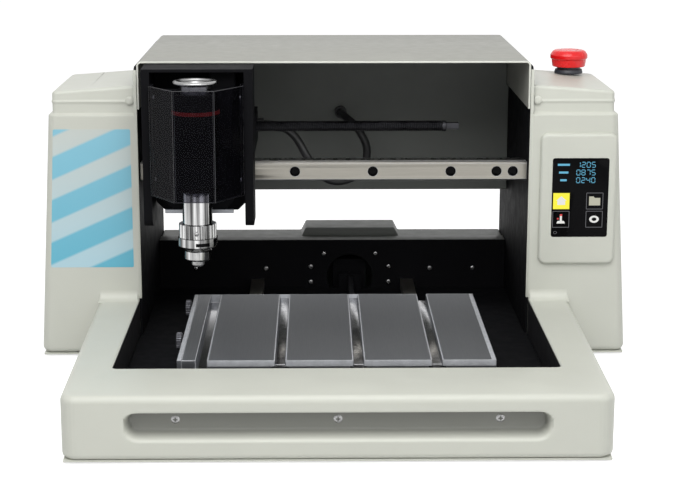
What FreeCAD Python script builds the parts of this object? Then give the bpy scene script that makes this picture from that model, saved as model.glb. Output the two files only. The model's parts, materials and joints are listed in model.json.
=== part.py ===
import FreeCAD, Part
import math
import os
import Sketcher

# Bench-top engraving machine with a fixed X rail, a sliding T-slot table and a Z head.
# Millimetres. X runs along the rail, Y from the operator to the back, Z up.
# The origin is the middle of the footprint, at the bottom of the rubber feet.

SIZES = {
    # Whole machine
    "machine_width": 640.0,
    "machine_depth": 608.0,
    "machine_height": 324.0,
    "running_gap": 0.5,
    "seat_gap": 0.3,
    # Rubber feet and base sheet
    "foot_stand": 2.0,
    "foot_radius": 12.0,
    "foot_inset": 34.0,
    "base_sheet": 2.0,
    "base_inset": 2.0,
    # Moulded front bezel with two arms
    "bezel_depth": 335.0,
    "bezel_bar": 86.0,
    "bezel_top": 64.0,
    "bezel_half_front": 250.0,
    "bezel_half_rear": 256.0,
    "bezel_wall": 3.0,
    "bezel_corner": 9.0,
    "bezel_edge": 2.5,
    "grip_half": 189.0,
    "grip_low": 29.0,
    "grip_high": 48.0,
    "grip_depth": 14.0,
    "grip_screw_pitch": 147.0,
    # Side pods
    "inner_half": 212.0,
    "pod_lean": 15.5,
    "pod_shoulder_drop": 58.0,
    "pod_cove": 13.0,
    "pod_step": 4.5,
    "pod_crown": 19.0,
    "pod_fall": 7.7,
    "pod_flat": 160.0,
    "pod_rear_drop": 40.0,
    "pod_corner": 7.0,
    "pod_wall": 3.0,
    # Chassis sheets
    "floor_top": 26.0,
    "floor_sheet": 4.0,
    "side_sheet": 3.0,
    "side_drop": 6.0,
    "rear_bay": 74.0,
    "wall_sheet": 3.0,
    "wall_top": 85.0,
    "wall_flange": 24.0,
    "arch_radius": 27.5,
    "panel_low": 147.0,
    "panel_sheet": 3.0,
    # Hood and rear cover
    "hood_sheet": 2.0,
    "hood_drop": 51.0,
    "hood_bend": 4.0,
    "cover_sheet": 2.0,
    "vent_count": 12.0,
    "vent_pitch": 26.0,
    "vent_width": 5.0,
    "vent_height": 70.0,
    "vent_rise": 43.0,
    # Lower rear casing
    "casing_top": 82.0,
    "casing_wall": 3.0,
    "hump_left": -38.0,
    "hump_right": 82.0,
    "hump_rise": 12.0,
    "hump_slope": 6.0,
    "hump_back": 28.0,
    # Touch panel and emergency stop
    "panel_plate_left": 221.0,
    "panel_plate_right": 303.0,
    "panel_plate_drop": 19.0,
    "panel_plate_tall": 143.0,
    "panel_plate_proud": 5.0,
    "panel_plate_corner": 5.0,
    "panel_plate_bevel": 1.5,
    "screen_margin_left": 12.5,
    "screen_margin_right": 8.0,
    "screen_margin_low": 30.0,
    "screen_margin_high": 26.0,
    "screen_sunk": 2.0,
    "screen_gap": 0.3,
    "stop_centre": 268.0,
    "stop_inset": 129.0,
    "stop_collar_radius": 16.0,
    "stop_collar_stand": 1.3,
    "stop_collar_tall": 4.7,
    "stop_head_radius": 21.0,
    "stop_head_stand": 3.0,
    "stop_head_tall": 19.0,
    "stop_stem_radius": 9.0,
    "stop_stroke": 2.5,
    # X rail and its bar
    "rail_room": 15.0,
    "rail_thick": 17.5,
    "rail_low": 193.0,
    "rail_width": 20.0,
    "rail_groove": 3.0,
    "bar_thick": 16.0,
    "bar_drop": 2.0,
    "cap_radius": 5.5,
    "cap_pitch": 84.2,
    "cap_sunk": 2.0,
    # X leadscrew and motor
    "screw_radius": 6.0,
    "screw_back": 43.0,
    "screw_drop": 78.0,
    "screw_end": 138.0,
    "screw_square": 8.0,
    "screw_square_length": 8.0,
    "motor_side": 42.0,
    "motor_length": 48.0,
    "motor_stand": 8.0,
    "post_radius": 2.5,
    "flange_radius_x": 17.0,
    "flange_thick": 7.0,
    # Y table
    "table_half": 152.5,
    "table_room": 17.0,
    "table_length": 247.0,
    "table_top": 66.0,
    "table_thick": 20.0,
    "slot_pitch": 75.0,
    "slot_first": -54.0,
    "slot_count": 3.0,
    "slot_neck": 10.0,
    "slot_neck_depth": 6.0,
    "slot_head": 17.0,
    "slot_head_depth": 7.0,
    "strip_wide": 4.0,
    "jaw_wide": 13.5,
    "jaw_tall": 9.0,
    "jaw_room": 24.5,
    "thumb_radius": 9.0,
    "thumb_length": 6.0,
    "thumb_stand": 1.0,
    "thumb_stem_radius": 3.0,
    "thumb_inset": 82.0,
    "thumb_pitch": 125.0,
    "y_rail_pitch": 90.0,
    "y_rail_wide": 15.0,
    "y_rail_tall": 11.0,
    "y_rail_room": 12.0,
    "y_block_wide": 34.0,
    "y_block_long": 48.0,
    "y_block_inset": 20.0,
    "y_block_low": 29.0,
    "y_screw_side": 21.0,
    "y_screw_height": 39.4,
    "y_screw_radius": 4.0,
    "y_bearing_wide": 26.0,
    "y_bearing_long": 10.0,
    "y_nut_wide": 28.0,
    "y_nut_long": 24.0,
    "y_nut_inset": 24.0,
    "y_nut_drop": 9.0,
    # Carriage and head
    "carriage_rest": -142.0,
    "carriage_half": 57.5,
    "carriage_reach": 63.0,
    "carriage_low": 156.0,
    "cheek_thick": 9.0,
    "lid_thick": 3.0,
    "plate_thick": 6.5,
    "plate_gap": 12.5,
    "plate_low": 165.0,
    "plate_corner": 9.0,
    "x_block_long": 42.0,
    "x_block_wide": 44.0,
    "x_block_deep": 20.0,
    "nut_radius": 14.0,
    "nut_length": 30.0,
    "arm_thick": 8.0,
    "arm_under": 20.0,
    "arm_over": 16.0,
    "arm_back": 39.0,
    "guard_face_half": 21.0,
    "guard_reach": 52.0,
    "guard_knee": 12.0,
    "guard_lap": 8.0,
    "guard_low": 192.0,
    "guard_drop": 15.5,
    "guard_sheet": 3.0,
    "z_plate_half": 36.0,
    "z_plate_inset": 8.0,
    "z_plate_thick": 5.0,
    "z_plate_low": 173.0,
    "z_plate_drop": 21.5,
    "z_rail_wide": 12.0,
    "z_rail_deep": 8.0,
    "z_block_tall": 40.0,
    "z_block_low": 226.0,
    "z_screw_side": 26.0,
    "z_screw_radius": 3.0,
    "z_motor_side": 28.0,
    "z_motor_tall": 30.0,
    "z_travel": 50.0,
    # Spindle
    "spindle_reach": 20.0,
    "spindle_radius": 24.0,
    "spindle_low": 200.0,
    "spindle_drop": 21.5,
    "band_drop": 17.0,
    "band_tall": 4.0,
    "neck_radius": 15.5,
    "ring_radius": 23.0,
    "ring_rise": 9.0,
    "ring_tall": 4.0,
    "quill_radius": 15.5,
    "collar_low": 150.5,
    "collar_high": 165.0,
    "collar_radius": 19.5,
    "flange_low": 141.0,
    "flange_radius": 20.5,
    "nose_low": 126.0,
    "nose_high": 137.0,
    "nose_radius": 14.2,
    "tip_low": 119.0,
    "tip_radius": 6.7,
    "shaft_radius": 5.0,
    "clamp_low": 206.0,
    "clamp_high": 236.0,
    "clamp_wall": 4.0,
    "flute_count": 24.0,
    # Control board and supply behind the back panel
    "board_left": -180.0,
    "board_rise": 23.0,
    "board_wide": 150.0,
    "board_tall": 110.0,
    "board_thick": 1.6,
    "board_stand": 10.0,
    "board_inset": 6.0,
    "board_post_radius": 3.0,
    "supply_left": 40.0,
    "supply_wide": 140.0,
    "supply_deep": 54.0,
    "supply_tall": 38.0,
    "supply_gap": 4.0,
    # Small screws
    "grip_screw_radius": 4.0,
    "grip_screw_tall": 1.8,
    "pod_screw_radius": 2.6,
    "pod_screw_tall": 0.6,
    "pod_screw_inset": 5.0,
    "wall_screw_radius": 3.0,
    "wall_screw_tall": 2.0,
    "wall_screw_low": 33.0,
    "wall_screw_step": 19.0,
    "wall_screw_high": 68.0,
    "wall_screw_wide": 47.0,
    "wall_screw_near": 31.0,
    "wall_screw_row": 50.0,
    "wall_screw_left": -165.0,
    "wall_screw_right": 118.0,
    "wall_left_pitch": 85.0,
    "wall_right_pitch": 52.0,
    # Fittings in the rear casing
    "inlet_left": 120.0,
    "inlet_wide": 28.0,
    "inlet_low": 26.0,
    "inlet_tall": 22.0,
    "inlet_depth": 18.0,
    "switch_left": 92.0,
    "switch_wide": 15.0,
    "rocker_deep": 9.0,
    "port_left": 64.0,
    "port_wide": 13.0,
    "port_tall": 12.0,
    # Head cable
    "cable_radius": 4.5,
    "gland_wall": 2.5,
    "gland_length": 7.0,
}


class Size:
    """A number that keeps the sum it was worked out by, for binding."""

    def __init__(self, number, text):
        self.number = number
        self.text = text

    def combine(self, other, sign, swapped=False):
        first, second = (as_size(other), self) if swapped else (self, as_size(other))
        a = first.number
        b = second.number
        result = {"+": a + b, "-": a - b, "*": a * b, "/": a / b if sign == "/" else 0.0}[sign]
        return Size(result, "(%s %s %s)" % (first.text, sign, second.text))

    def __add__(self, other):
        return self.combine(other, "+")

    def __radd__(self, other):
        return self.combine(other, "+", True)

    def __sub__(self, other):
        return self.combine(other, "-")

    def __rsub__(self, other):
        return self.combine(other, "-", True)

    def __mul__(self, other):
        return self.combine(other, "*")

    def __rmul__(self, other):
        return self.combine(other, "*", True)

    def __truediv__(self, other):
        return self.combine(other, "/")

    def __neg__(self):
        return self.combine(-1, "*")

    def __float__(self):
        return self.number


def as_size(value):
    """Take a plain number or a Size and return a Size."""
    if isinstance(value, Size):
        return value
    return Size(float(value), "(%s)" % value if value < 0 else str(value))


doc = FreeCAD.newDocument("EngravingMachine")
sheet = doc.addObject("Spreadsheet::Sheet", "Sizes")


class SheetSizes:
    """The sheet's cells as attributes, such as s.table_top."""

    def __init__(self, values):
        for row, (name, value) in enumerate(values.items(), start=1):
            sheet.set("A%d" % row, name)
            sheet.set("B%d" % row, str(value))
            sheet.setAlias("B%d" % row, name)
            setattr(self, name, Size(value, "Sizes." + name))


s = SheetSizes(SIZES)
doc.recompute()

# Places that several pieces share
front_y = -s.machine_depth / 2
rear_y = s.machine_depth / 2
pods_front = front_y + s.bezel_depth
shell_low = s.foot_stand + s.base_sheet
bar_rear = front_y + s.bezel_bar
wall_front = rear_y - s.rear_bay
side_top = s.machine_height - s.side_drop
hood_low = s.machine_height - s.hood_drop
pod_shoulder = s.machine_height - s.pod_shoulder_drop
cove_top = pod_shoulder + s.pod_cove
pod_top_inner = cove_top + s.pod_crown
pod_top_outer = pod_top_inner - s.pod_fall
plate_high = pod_shoulder - s.panel_plate_drop
plate_low = plate_high - s.panel_plate_tall
chassis_half = s.inner_half - s.side_sheet
room_half = chassis_half - s.seat_gap
hood_half = chassis_half - s.seat_gap
rail_front = pods_front + s.rail_room
rail_high = s.rail_low + s.rail_width
rail_rear = rail_front + s.rail_thick
screw_depth = rail_front + s.screw_back
screw_height = s.machine_height - s.screw_drop
table_low = s.table_top - s.table_thick
table_front = bar_rear + s.table_room
y_rail_front = bar_rear + s.y_rail_room
y_rail_high = s.floor_top + s.y_rail_tall
carriage_front = rail_front - s.carriage_reach
carriage_top = s.machine_height - s.hood_sheet - s.running_gap
plate_rear = rail_front - s.plate_gap
plate_front = plate_rear - s.plate_thick
guard_front = carriage_front - s.guard_reach
guard_high = carriage_top - s.guard_drop
z_plate_front = carriage_front + s.z_plate_inset
spindle_front = carriage_front - s.spindle_reach
spindle_high = carriage_top - s.spindle_drop
band_high = spindle_high - s.band_drop
band_low = band_high - s.band_tall
ring_low = spindle_high + s.ring_rise
ring_high = ring_low + s.ring_tall
cheek_inner = s.carriage_half - s.cheek_thick

# Sketch planes: the role, the sign of the sketch normal and the axis that it runs along
PLANES = {
    "top": ("XY_Plane", 1),
    "front": ("XZ_Plane", -1),
    "side": ("YZ_Plane", 1),
}

sub_parts = []


def keep(thing, name):
    """List a finished object as the sub-part of this name."""
    thing.Label = name
    sub_parts.append(thing)
    return thing


def bind(thing, path, value):
    """Tie one property to the sheet, or set it where it is a plain number."""
    thing.setExpression(path, as_size(value).text)


def new_body(name):
    """Start a body whose label is the node's name."""
    return keep(doc.addObject("PartDesign::Body", name), name)


def inner_body(name):
    """Start a body that becomes one solid of a grouped node."""
    return doc.addObject("PartDesign::Body", name)


def new_sketch(body, plane, start):
    """Put a sketch on one origin plane of the body, moved along the plane's normal to start."""
    role, sign = PLANES[plane]
    sketch = body.newObject("Sketcher::SketchObject", body.Name + "_sketch")
    planes = [item for item in body.Origin.OriginFeatures if item.Role == role]
    sketch.AttachmentSupport = [(planes[0], "")]
    sketch.MapMode = "FlatFace"
    bind(sketch, "AttachmentOffset.Base.z", as_size(start) * sign)
    return sketch


def pin_point(sketch, edge, end, x, y):
    """Fix one point of a sketch edge at x, y from the sketch origin."""
    for kind, value in (("DistanceX", as_size(x)), ("DistanceY", as_size(y))):
        row = sketch.addConstraint(Sketcher.Constraint(kind, -1, 1, edge, end, value.number))
        bind(sketch, "Constraints[%d]" % row, value)


def direction(start, end):
    """Unit step from one point to the next, along whichever axis they differ."""
    dx = float(as_size(end[0])) - float(as_size(start[0]))
    dy = float(as_size(end[1])) - float(as_size(start[1]))
    reach = math.hypot(dx, dy)
    return dx / reach, dy / reach


def outline(sketch, points):
    """Close an outline through the points; a third value rounds a square corner by that radius."""
    corners = []
    for here, point in enumerate(points):
        if len(point) == 2:
            corners.append([point])
            continue
        x, y, radius = point
        into = direction(points[here - 1], point)
        away = direction(point, points[(here + 1) % len(points)])
        first = (x - radius * round(into[0]), y - radius * round(into[1]))
        last = (x + radius * round(away[0]), y + radius * round(away[1]))
        centre_x = last[0] if round(into[0]) == 0 else first[0]
        corners.append([first, last, centre_x, radius])
    for here, corner in enumerate(corners):
        following = corners[(here + 1) % len(corners)]
        if len(corner) > 2:
            add_corner(sketch, *corner)
        leaving = corner[1] if len(corner) > 2 else corner[0]
        add_line(sketch, leaving, following[0])


def add_line(sketch, start, end):
    """Draw one line with both of its ends fixed."""
    first = FreeCAD.Vector(float(as_size(start[0])), float(as_size(start[1])), 0)
    last = FreeCAD.Vector(float(as_size(end[0])), float(as_size(end[1])), 0)
    edge = sketch.addGeometry(Part.LineSegment(first, last))
    pin_point(sketch, edge, 1, *start)
    pin_point(sketch, edge, 2, *end)


def add_corner(sketch, start, end, centre_x, radius):
    """Draw the quarter round of one square corner, from start to end."""
    first = FreeCAD.Vector(float(as_size(start[0])), float(as_size(start[1])), 0)
    last = FreeCAD.Vector(float(as_size(end[0])), float(as_size(end[1])), 0)
    level = last.x == float(as_size(centre_x))
    centre = FreeCAD.Vector(last.x, first.y, 0) if level else FreeCAD.Vector(first.x, last.y, 0)
    turns_left = (first - centre).cross(last - centre).z > 0
    opening, closing = (first, last) if turns_left else (last, first)
    angles = [math.atan2(tip.y - centre.y, tip.x - centre.x) for tip in (opening, closing)]
    circle = Part.Circle(centre, FreeCAD.Vector(0, 0, 1), float(as_size(radius)))
    edge = sketch.addGeometry(Part.ArcOfCircle(circle, *angles))
    pin_point(sketch, edge, 1 if turns_left else 2, *start)
    pin_point(sketch, edge, 2 if turns_left else 1, *end)
    row = sketch.addConstraint(Sketcher.Constraint("DistanceX", -1, 1, edge, 3, centre.x))
    bind(sketch, "Constraints[%d]" % row, centre_x)


def ring(sketch, x, y, radius):
    """Draw a circle at x, y."""
    centre = FreeCAD.Vector(float(as_size(x)), float(as_size(y)), 0)
    circle = Part.Circle(centre, FreeCAD.Vector(0, 0, 1), float(as_size(radius)))
    edge = sketch.addGeometry(circle)
    pin_point(sketch, edge, 3, x, y)
    row = sketch.addConstraint(Sketcher.Constraint("Radius", edge, float(as_size(radius))))
    bind(sketch, "Constraints[%d]" % row, radius)


def pad(body, plane, start, length, points=None, rings=()):
    """Add a prism that runs from start towards the axis' positive side."""
    sketch = new_sketch(body, plane, start)
    if points:
        outline(sketch, points)
    for circle in rings:
        ring(sketch, *circle)
    feature = body.newObject("PartDesign::Pad", body.Name + "_pad")
    feature.Profile = sketch
    feature.Reversed = PLANES[plane][1] < 0
    bind(feature, "Length", length)
    body.Tip = feature
    return feature


def pocket(body, plane, start, length, points=None, rings=()):
    """Cut a prism that runs from start towards the axis' positive side."""
    sketch = new_sketch(body, plane, start)
    if points:
        outline(sketch, points)
    for circle in rings:
        ring(sketch, *circle)
    feature = body.newObject("PartDesign::Pocket", body.Name + "_pocket")
    feature.Profile = sketch
    feature.Reversed = PLANES[plane][1] > 0
    bind(feature, "Length", length)
    body.Tip = feature
    return feature


def repeat(body, feature, axis, step, count):
    """Repeat the last feature along one of the body's axes."""
    pattern = body.newObject("PartDesign::LinearPattern", body.Name + "_pattern")
    pattern.Originals = [feature]
    axes = [item for item in body.Origin.OriginFeatures if item.Role == axis + "_Axis"]
    pattern.Direction = (axes[0], [""])
    bind(pattern, "Length", step * (count - 1))
    bind(pattern, "Occurrences", count)
    body.Tip = pattern
    return pattern


def revolve(body, points):
    """Turn an outline of radius and height about the body's own Z axis."""
    sketch = new_sketch(body, "front", 0)
    outline(sketch, points)
    axes = [item for item in body.Origin.OriginFeatures if item.Role == "Z_Axis"]
    feature = body.newObject("PartDesign::Revolution", body.Name + "_turning")
    feature.Profile = sketch
    feature.ReferenceAxis = (axes[0], [""])
    feature.Angle = 360
    body.Tip = feature
    return feature


def soften(body, radius, chosen, kind="Fillet"):
    """Fillet or chamfer the edges of the body's last feature that chosen picks."""
    doc.recompute()
    base = body.Tip
    names = ["Edge%d" % (row + 1) for row, edge in enumerate(base.Shape.Edges) if chosen(edge)]
    feature = body.newObject("PartDesign::" + kind, body.Name + "_edges")
    feature.Base = (base, names)
    bind(feature, "Radius" if kind == "Fillet" else "Size", radius)
    body.Tip = feature
    return feature


def place(thing, x=0, y=0, z=0):
    """Bind where an object's own origin lies."""
    for axis, value in (("x", x), ("y", y), ("z", z)):
        bind(thing, "Placement.Base." + axis, value)
    return thing


def block(name, x, y, z, wide, deep, tall):
    """A plain box primitive from its lowest corner."""
    box = doc.addObject("Part::Box", name)
    bind(box, "Length", wide)
    bind(box, "Width", deep)
    bind(box, "Height", tall)
    return place(box, x, y, z)


def drum(name, axis, x, y, z, radius, length):
    """A cylinder primitive along X, Y or Z from the middle of its first end."""
    cylinder = doc.addObject("Part::Cylinder", name)
    bind(cylinder, "Radius", radius)
    bind(cylinder, "Height", length)
    turns = {
        "X": FreeCAD.Rotation(FreeCAD.Vector(0, 1, 0), 90),
        "Y": FreeCAD.Rotation(FreeCAD.Vector(1, 0, 0), -90),
        "Z": FreeCAD.Rotation(),
    }
    cylinder.Placement = FreeCAD.Placement(FreeCAD.Vector(), turns[axis])
    return place(cylinder, x, y, z)


def cut(name, base, tool):
    """One primitive with another taken away."""
    result = doc.addObject("Part::Cut", name)
    result.Base = base
    result.Tool = tool
    return result


def group(name, pieces):
    """Several separate solids that share one node."""
    result = doc.addObject("Part::Compound", name)
    result.Links = pieces
    return result


def fuse(name, pieces):
    """Several primitives made one solid."""
    result = doc.addObject("Part::MultiFuse", name)
    result.Shapes = pieces
    result.Refine = True
    return result


def base_sheet():
    """Flat steel sheet that the shells stand on, in the outline of bezel and pods."""
    body = new_body("base_sheet")
    inset = s.base_inset
    half = s.machine_width / 2 - inset
    front_half = s.bezel_half_front - inset
    rear_half = s.bezel_half_rear - inset
    pad(body, "top", s.foot_stand, s.base_sheet, [
        (-front_half, front_y + inset),
        (front_half, front_y + inset),
        (rear_half, pods_front + inset),
        (half, pods_front + inset),
        (half, rear_y - inset),
        (-half, rear_y - inset),
        (-half, pods_front + inset),
        (-rear_half, pods_front + inset),
    ])


def rubber_feet():
    """Six flat feet under the base sheet."""
    side = s.machine_width / 2 - s.foot_inset
    front_side = s.bezel_half_front - s.foot_inset
    spots = []
    for sign in (-1, 1):
        spots.append((front_side * sign, front_y + s.foot_inset))
        spots.append((side * sign, pods_front + s.foot_inset))
        spots.append((side * sign, rear_y - s.foot_inset))
    feet = []
    for row, (x, y) in enumerate(spots):
        feet.append(drum("foot_%d" % row, "Z", x, y, 0, s.foot_radius, s.foot_stand))
    keep(group("rubber_feet", feet), "rubber_feet")


def front_bezel():
    """Moulded U-shaped frame round the table, open beneath, with a grip recess in front."""
    body = new_body("front_bezel")
    tall = s.bezel_top - shell_low
    pad(body, "top", shell_low, tall, [
        (-s.bezel_half_front, front_y),
        (s.bezel_half_front, front_y),
        (s.bezel_half_rear, pods_front),
        (s.inner_half, pods_front),
        (s.inner_half, bar_rear),
        (-s.inner_half, bar_rear),
        (-s.inner_half, pods_front),
        (-s.bezel_half_rear, pods_front),
    ])
    wall = s.bezel_wall
    hollow_front = front_y + s.grip_depth + wall
    pocket(body, "top", shell_low, tall - wall, [
        (-s.bezel_half_front + wall, hollow_front),
        (s.bezel_half_front - wall, hollow_front),
        (s.bezel_half_rear - wall, pods_front - wall),
        (s.inner_half + wall, pods_front - wall),
        (s.inner_half + wall, bar_rear - wall),
        (-s.inner_half - wall, bar_rear - wall),
        (-s.inner_half - wall, pods_front - wall),
        (-s.bezel_half_rear + wall, pods_front - wall),
    ])
    middle = float(front_y)

    def front_corner(edge):
        box = edge.BoundBox
        return box.ZLength > float(tall) - 1 and box.YMax < middle + 0.01

    soften(body, s.bezel_corner, front_corner)
    top = float(s.bezel_top)
    inner = float(s.inner_half)

    def outer_rim(edge):
        box = edge.BoundBox
        flat = box.ZLength < 0.01 and abs(box.ZMax - top) < 0.01
        outside = box.XMax > inner + 1 or box.XMin < -inner - 1
        return flat and (outside and box.YMax < float(pods_front) - 1 or box.YLength > float(s.bezel_bar) * 2 and outside)

    soften(body, s.bezel_edge, lambda edge: outer_rim(edge) and not on_rear(edge, pods_front))
    pocket(body, "front", front_y, s.grip_depth, [
        (-s.grip_half, s.grip_low),
        (s.grip_half, s.grip_low),
        (s.grip_half, s.grip_high),
        (-s.grip_half, s.grip_high),
    ])


def on_rear(edge, y):
    """True for an edge that lies wholly in the plane at y."""
    box = edge.BoundBox
    return abs(box.YMin - float(y)) < 0.01 and abs(box.YMax - float(y)) < 0.01


def housing_screws():
    """Screws in the grip recess, in the top band of each pod and in the low rear wall."""
    screws = []
    tall = s.grip_screw_tall
    level = (s.grip_low + s.grip_high) / 2
    y = front_y + s.grip_depth - tall
    for step in (-1, 0, 1):
        name = "grip_screw_%d" % (step + 1)
        screws.append(drum(name, "Y", s.grip_screw_pitch * step, y, level, s.grip_screw_radius, tall))
    tall = s.pod_screw_tall
    y = pods_front + s.pod_step - tall
    level = (cove_top + pod_top_inner - s.pod_cove) / 2
    for side in (-1, 1):
        name = "pod_screw_%d" % (side + 1)
        x = (s.inner_half + s.pod_screw_inset) * side
        screws.append(drum(name, "Y", x, y, level, s.pod_screw_radius, tall))
    tall = s.wall_screw_tall
    for row, (x, z) in enumerate(wall_screw_places()):
        name = "wall_screw_%d" % row
        screws.append(drum(name, "Y", x, wall_front - tall, z, s.wall_screw_radius, tall))
    keep(group("housing_screws", screws), "housing_screws")


def wall_screw_places():
    """Three pairs of screws round the arch, and two screws further out on each side."""
    middle = s.y_screw_side
    places = []
    for sign in (-1, 1):
        for level in (s.wall_screw_low, s.wall_screw_low + s.wall_screw_step):
            places.append((middle + s.wall_screw_wide * sign, level))
        places.append((middle + s.wall_screw_near * sign, s.wall_screw_high))
    for first, pitch in ((s.wall_screw_left, s.wall_left_pitch), (s.wall_screw_right, s.wall_right_pitch)):
        for x in (first, first + pitch):
            places.append((x, s.wall_screw_row))
    return places


def pod_section(body, side, height, reach, front_inset):
    """One level of a pod: a block plan with its outer front corner rounded."""
    sketch = new_sketch(body, "top", height)
    front = pods_front + front_inset
    outline(sketch, [
        (s.inner_half * side, front),
        (reach * side, front, s.pod_corner),
        (reach * side, rear_y - front_inset),
        (s.inner_half * side, rear_y - front_inset),
    ])
    return sketch


def side_pod(name, side):
    """Moulded side pod: leaning wall, coved shoulder, capped top that falls to the rear."""
    body = new_body(name)
    foot_reach = s.machine_width / 2
    top_reach = foot_reach - s.pod_lean
    cap_reach = top_reach - s.pod_step
    lower = loft(body, [
        pod_section(body, side, shell_low, foot_reach, 0),
        pod_section(body, side, pod_shoulder, top_reach, 0),
    ])
    cap_low = pod_shoulder + s.pod_cove
    loft(body, [
        pod_section(body, side, pod_shoulder, top_reach, 0),
        pod_section(body, side, cap_low, cap_reach, s.pod_step),
    ])
    loft(body, [
        pod_section(body, side, cap_low, cap_reach, s.pod_step),
        pod_section(body, side, pod_top_inner, cap_reach, s.pod_step),
    ])
    pocket(body, "front", pods_front, rear_y - pods_front, [
        (s.inner_half * side, pod_top_inner),
        (foot_reach * side, pod_top_outer),
        (foot_reach * side, pod_top_inner + s.pod_fall),
        (s.inner_half * side, pod_top_inner + s.pod_fall),
    ])
    start = s.inner_half * side if side > 0 else -foot_reach
    pocket(body, "side", start, foot_reach - s.inner_half, [
        (pods_front + s.pod_flat, pod_top_inner),
        (rear_y, pod_top_inner - s.pod_rear_drop),
        (rear_y, pod_top_inner + s.pod_fall),
        (pods_front + s.pod_flat, pod_top_inner + s.pod_fall),
    ])
    wall = s.pod_wall
    depth_in = s.pod_step + wall
    roof = pod_top_inner - s.pod_rear_drop - wall * 2
    pocket(body, "front", pods_front + depth_in, rear_y - pods_front - depth_in * 2, [
        (s.inner_half * side, shell_low),
        ((foot_reach - wall * 1.5) * side, shell_low),
        ((top_reach - wall * 1.5) * side, roof),
        (s.inner_half * side, roof),
    ])
    pocket(body, "front", pods_front + depth_in, s.pod_flat - depth_in * 2, [
        (s.inner_half * side, roof),
        ((cap_reach - wall * 1.5) * side, roof),
        ((cap_reach - wall * 1.5) * side, pod_top_outer - wall * 2),
        (s.inner_half * side, pod_top_outer - wall * 2),
    ])
    return body


def loft(body, sections):
    """Join two levels of a moulding by straight walls."""
    feature = body.newObject("PartDesign::AdditiveLoft", body.Name + "_loft")
    feature.Profile = sections[0]
    feature.Sections = sections[1:]
    feature.Ruled = True
    body.Tip = feature
    return feature


def floor_pan():
    """Black floor under the table: a folded sheet with four legs down to the base sheet."""
    body = new_body("floor_pan")
    wide = s.inner_half - s.seat_gap
    low = s.floor_top - s.floor_sheet
    neck = pods_front + s.seat_gap
    pad(body, "top", low, s.floor_sheet, [
        (-wide, bar_rear + s.seat_gap),
        (wide, bar_rear + s.seat_gap),
        (wide, neck - s.seat_gap * 2),
        (room_half, neck - s.seat_gap * 2),
        (room_half, wall_front - s.seat_gap),
        (-room_half, wall_front - s.seat_gap),
        (-room_half, neck - s.seat_gap * 2),
        (-wide, neck - s.seat_gap * 2),
    ])
    long = wall_front - bar_rear - s.seat_gap * 2
    for row in range(4):
        leg_y = bar_rear + s.seat_gap + (long - s.floor_sheet) * (row / 3)
        pad(body, "front", leg_y, s.floor_sheet, [
            (-room_half, shell_low),
            (room_half, shell_low),
            (room_half, low),
            (-room_half, low),
        ])


def side_plate(name, side):
    """Black side sheet between the pods, from the base sheet to the hood."""
    body = new_body(name)
    start = chassis_half if side > 0 else -s.inner_half
    pad(body, "side", start, s.side_sheet, [
        (pods_front + s.seat_gap, shell_low),
        (rear_y - s.cover_sheet, shell_low),
        (rear_y - s.cover_sheet, side_top),
        (pods_front + s.seat_gap, side_top, 10),
    ])
    if side < 0:
        pocket(body, "side", start, s.side_sheet, rings=[
            (screw_depth, screw_height, s.screw_radius + 4),
        ])
    return body


def rear_wall():
    """Low black wall behind the table, with a rear flange and an arch for the Y leadscrew."""
    body = new_body("rear_wall")
    top = s.wall_top
    sheet_in = s.wall_sheet
    pad(body, "side", -room_half, room_half * 2, [
        (wall_front, shell_low),
        (wall_front + sheet_in, shell_low),
        (wall_front + sheet_in, top - sheet_in),
        (wall_front + s.wall_flange, top - sheet_in),
        (wall_front + s.wall_flange, top),
        (wall_front, top),
    ])
    pocket(body, "front", wall_front, sheet_in, rings=[
        (s.y_screw_side, s.y_screw_height, s.arch_radius),
    ])


def back_panel():
    """Panel above the rear window, with a floor flange that runs back to the rear cover."""
    body = new_body("back_panel")
    thick = s.panel_sheet
    pad(body, "side", -room_half, room_half * 2, [
        (wall_front, s.panel_low),
        (rear_y - s.cover_sheet, s.panel_low),
        (rear_y - s.cover_sheet, s.panel_low + thick),
        (wall_front + thick, s.panel_low + thick),
        (wall_front + thick, side_top),
        (wall_front, side_top),
    ])
    inner = hood_half - s.hood_sheet - s.seat_gap
    for sign in (-1, 1):
        pocket(body, "front", wall_front, thick, [
            (inner * sign, hood_low - s.seat_gap),
            (s.inner_half * sign, hood_low - s.seat_gap),
            (s.inner_half * sign, s.machine_height),
            (inner * sign, s.machine_height),
        ])


def hood():
    """Folded sheet hood: a top with two short sides that reach down inside the side sheets."""
    body = new_body("hood")
    thick = s.hood_sheet
    bend = s.hood_bend
    inner = hood_half - thick
    top = s.machine_height
    pad(body, "front", pods_front, rear_y - pods_front, [
        (-hood_half, hood_low),
        (-hood_half, top, bend),
        (hood_half, top, bend),
        (hood_half, hood_low),
        (inner, hood_low),
        (inner, top - thick, bend - thick),
        (-inner, top - thick, bend - thick),
        (-inner, hood_low),
    ])


def rear_cover():
    """Upper rear sheet with a row of cooling slots, inside the hood's rear edge."""
    body = new_body("rear_cover")
    half = hood_half - s.hood_sheet - s.seat_gap
    front = rear_y - s.cover_sheet
    top = s.machine_height - s.hood_sheet - s.seat_gap
    bend = s.hood_bend - s.hood_sheet
    pad(body, "front", front, s.cover_sheet, [
        (-half, s.panel_low),
        (half, s.panel_low),
        (half, top, bend),
        (-half, top, bend),
    ])
    first = -s.vent_pitch * (s.vent_count - 1) / 2 - s.vent_width / 2
    low = s.panel_low + s.vent_rise
    slot = pocket(body, "front", front, s.cover_sheet, [
        (first, low),
        (first + s.vent_width, low),
        (first + s.vent_width, low + s.vent_height),
        (first, low + s.vent_height),
    ])
    repeat(body, slot, "X", s.vent_pitch, s.vent_count)


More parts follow.
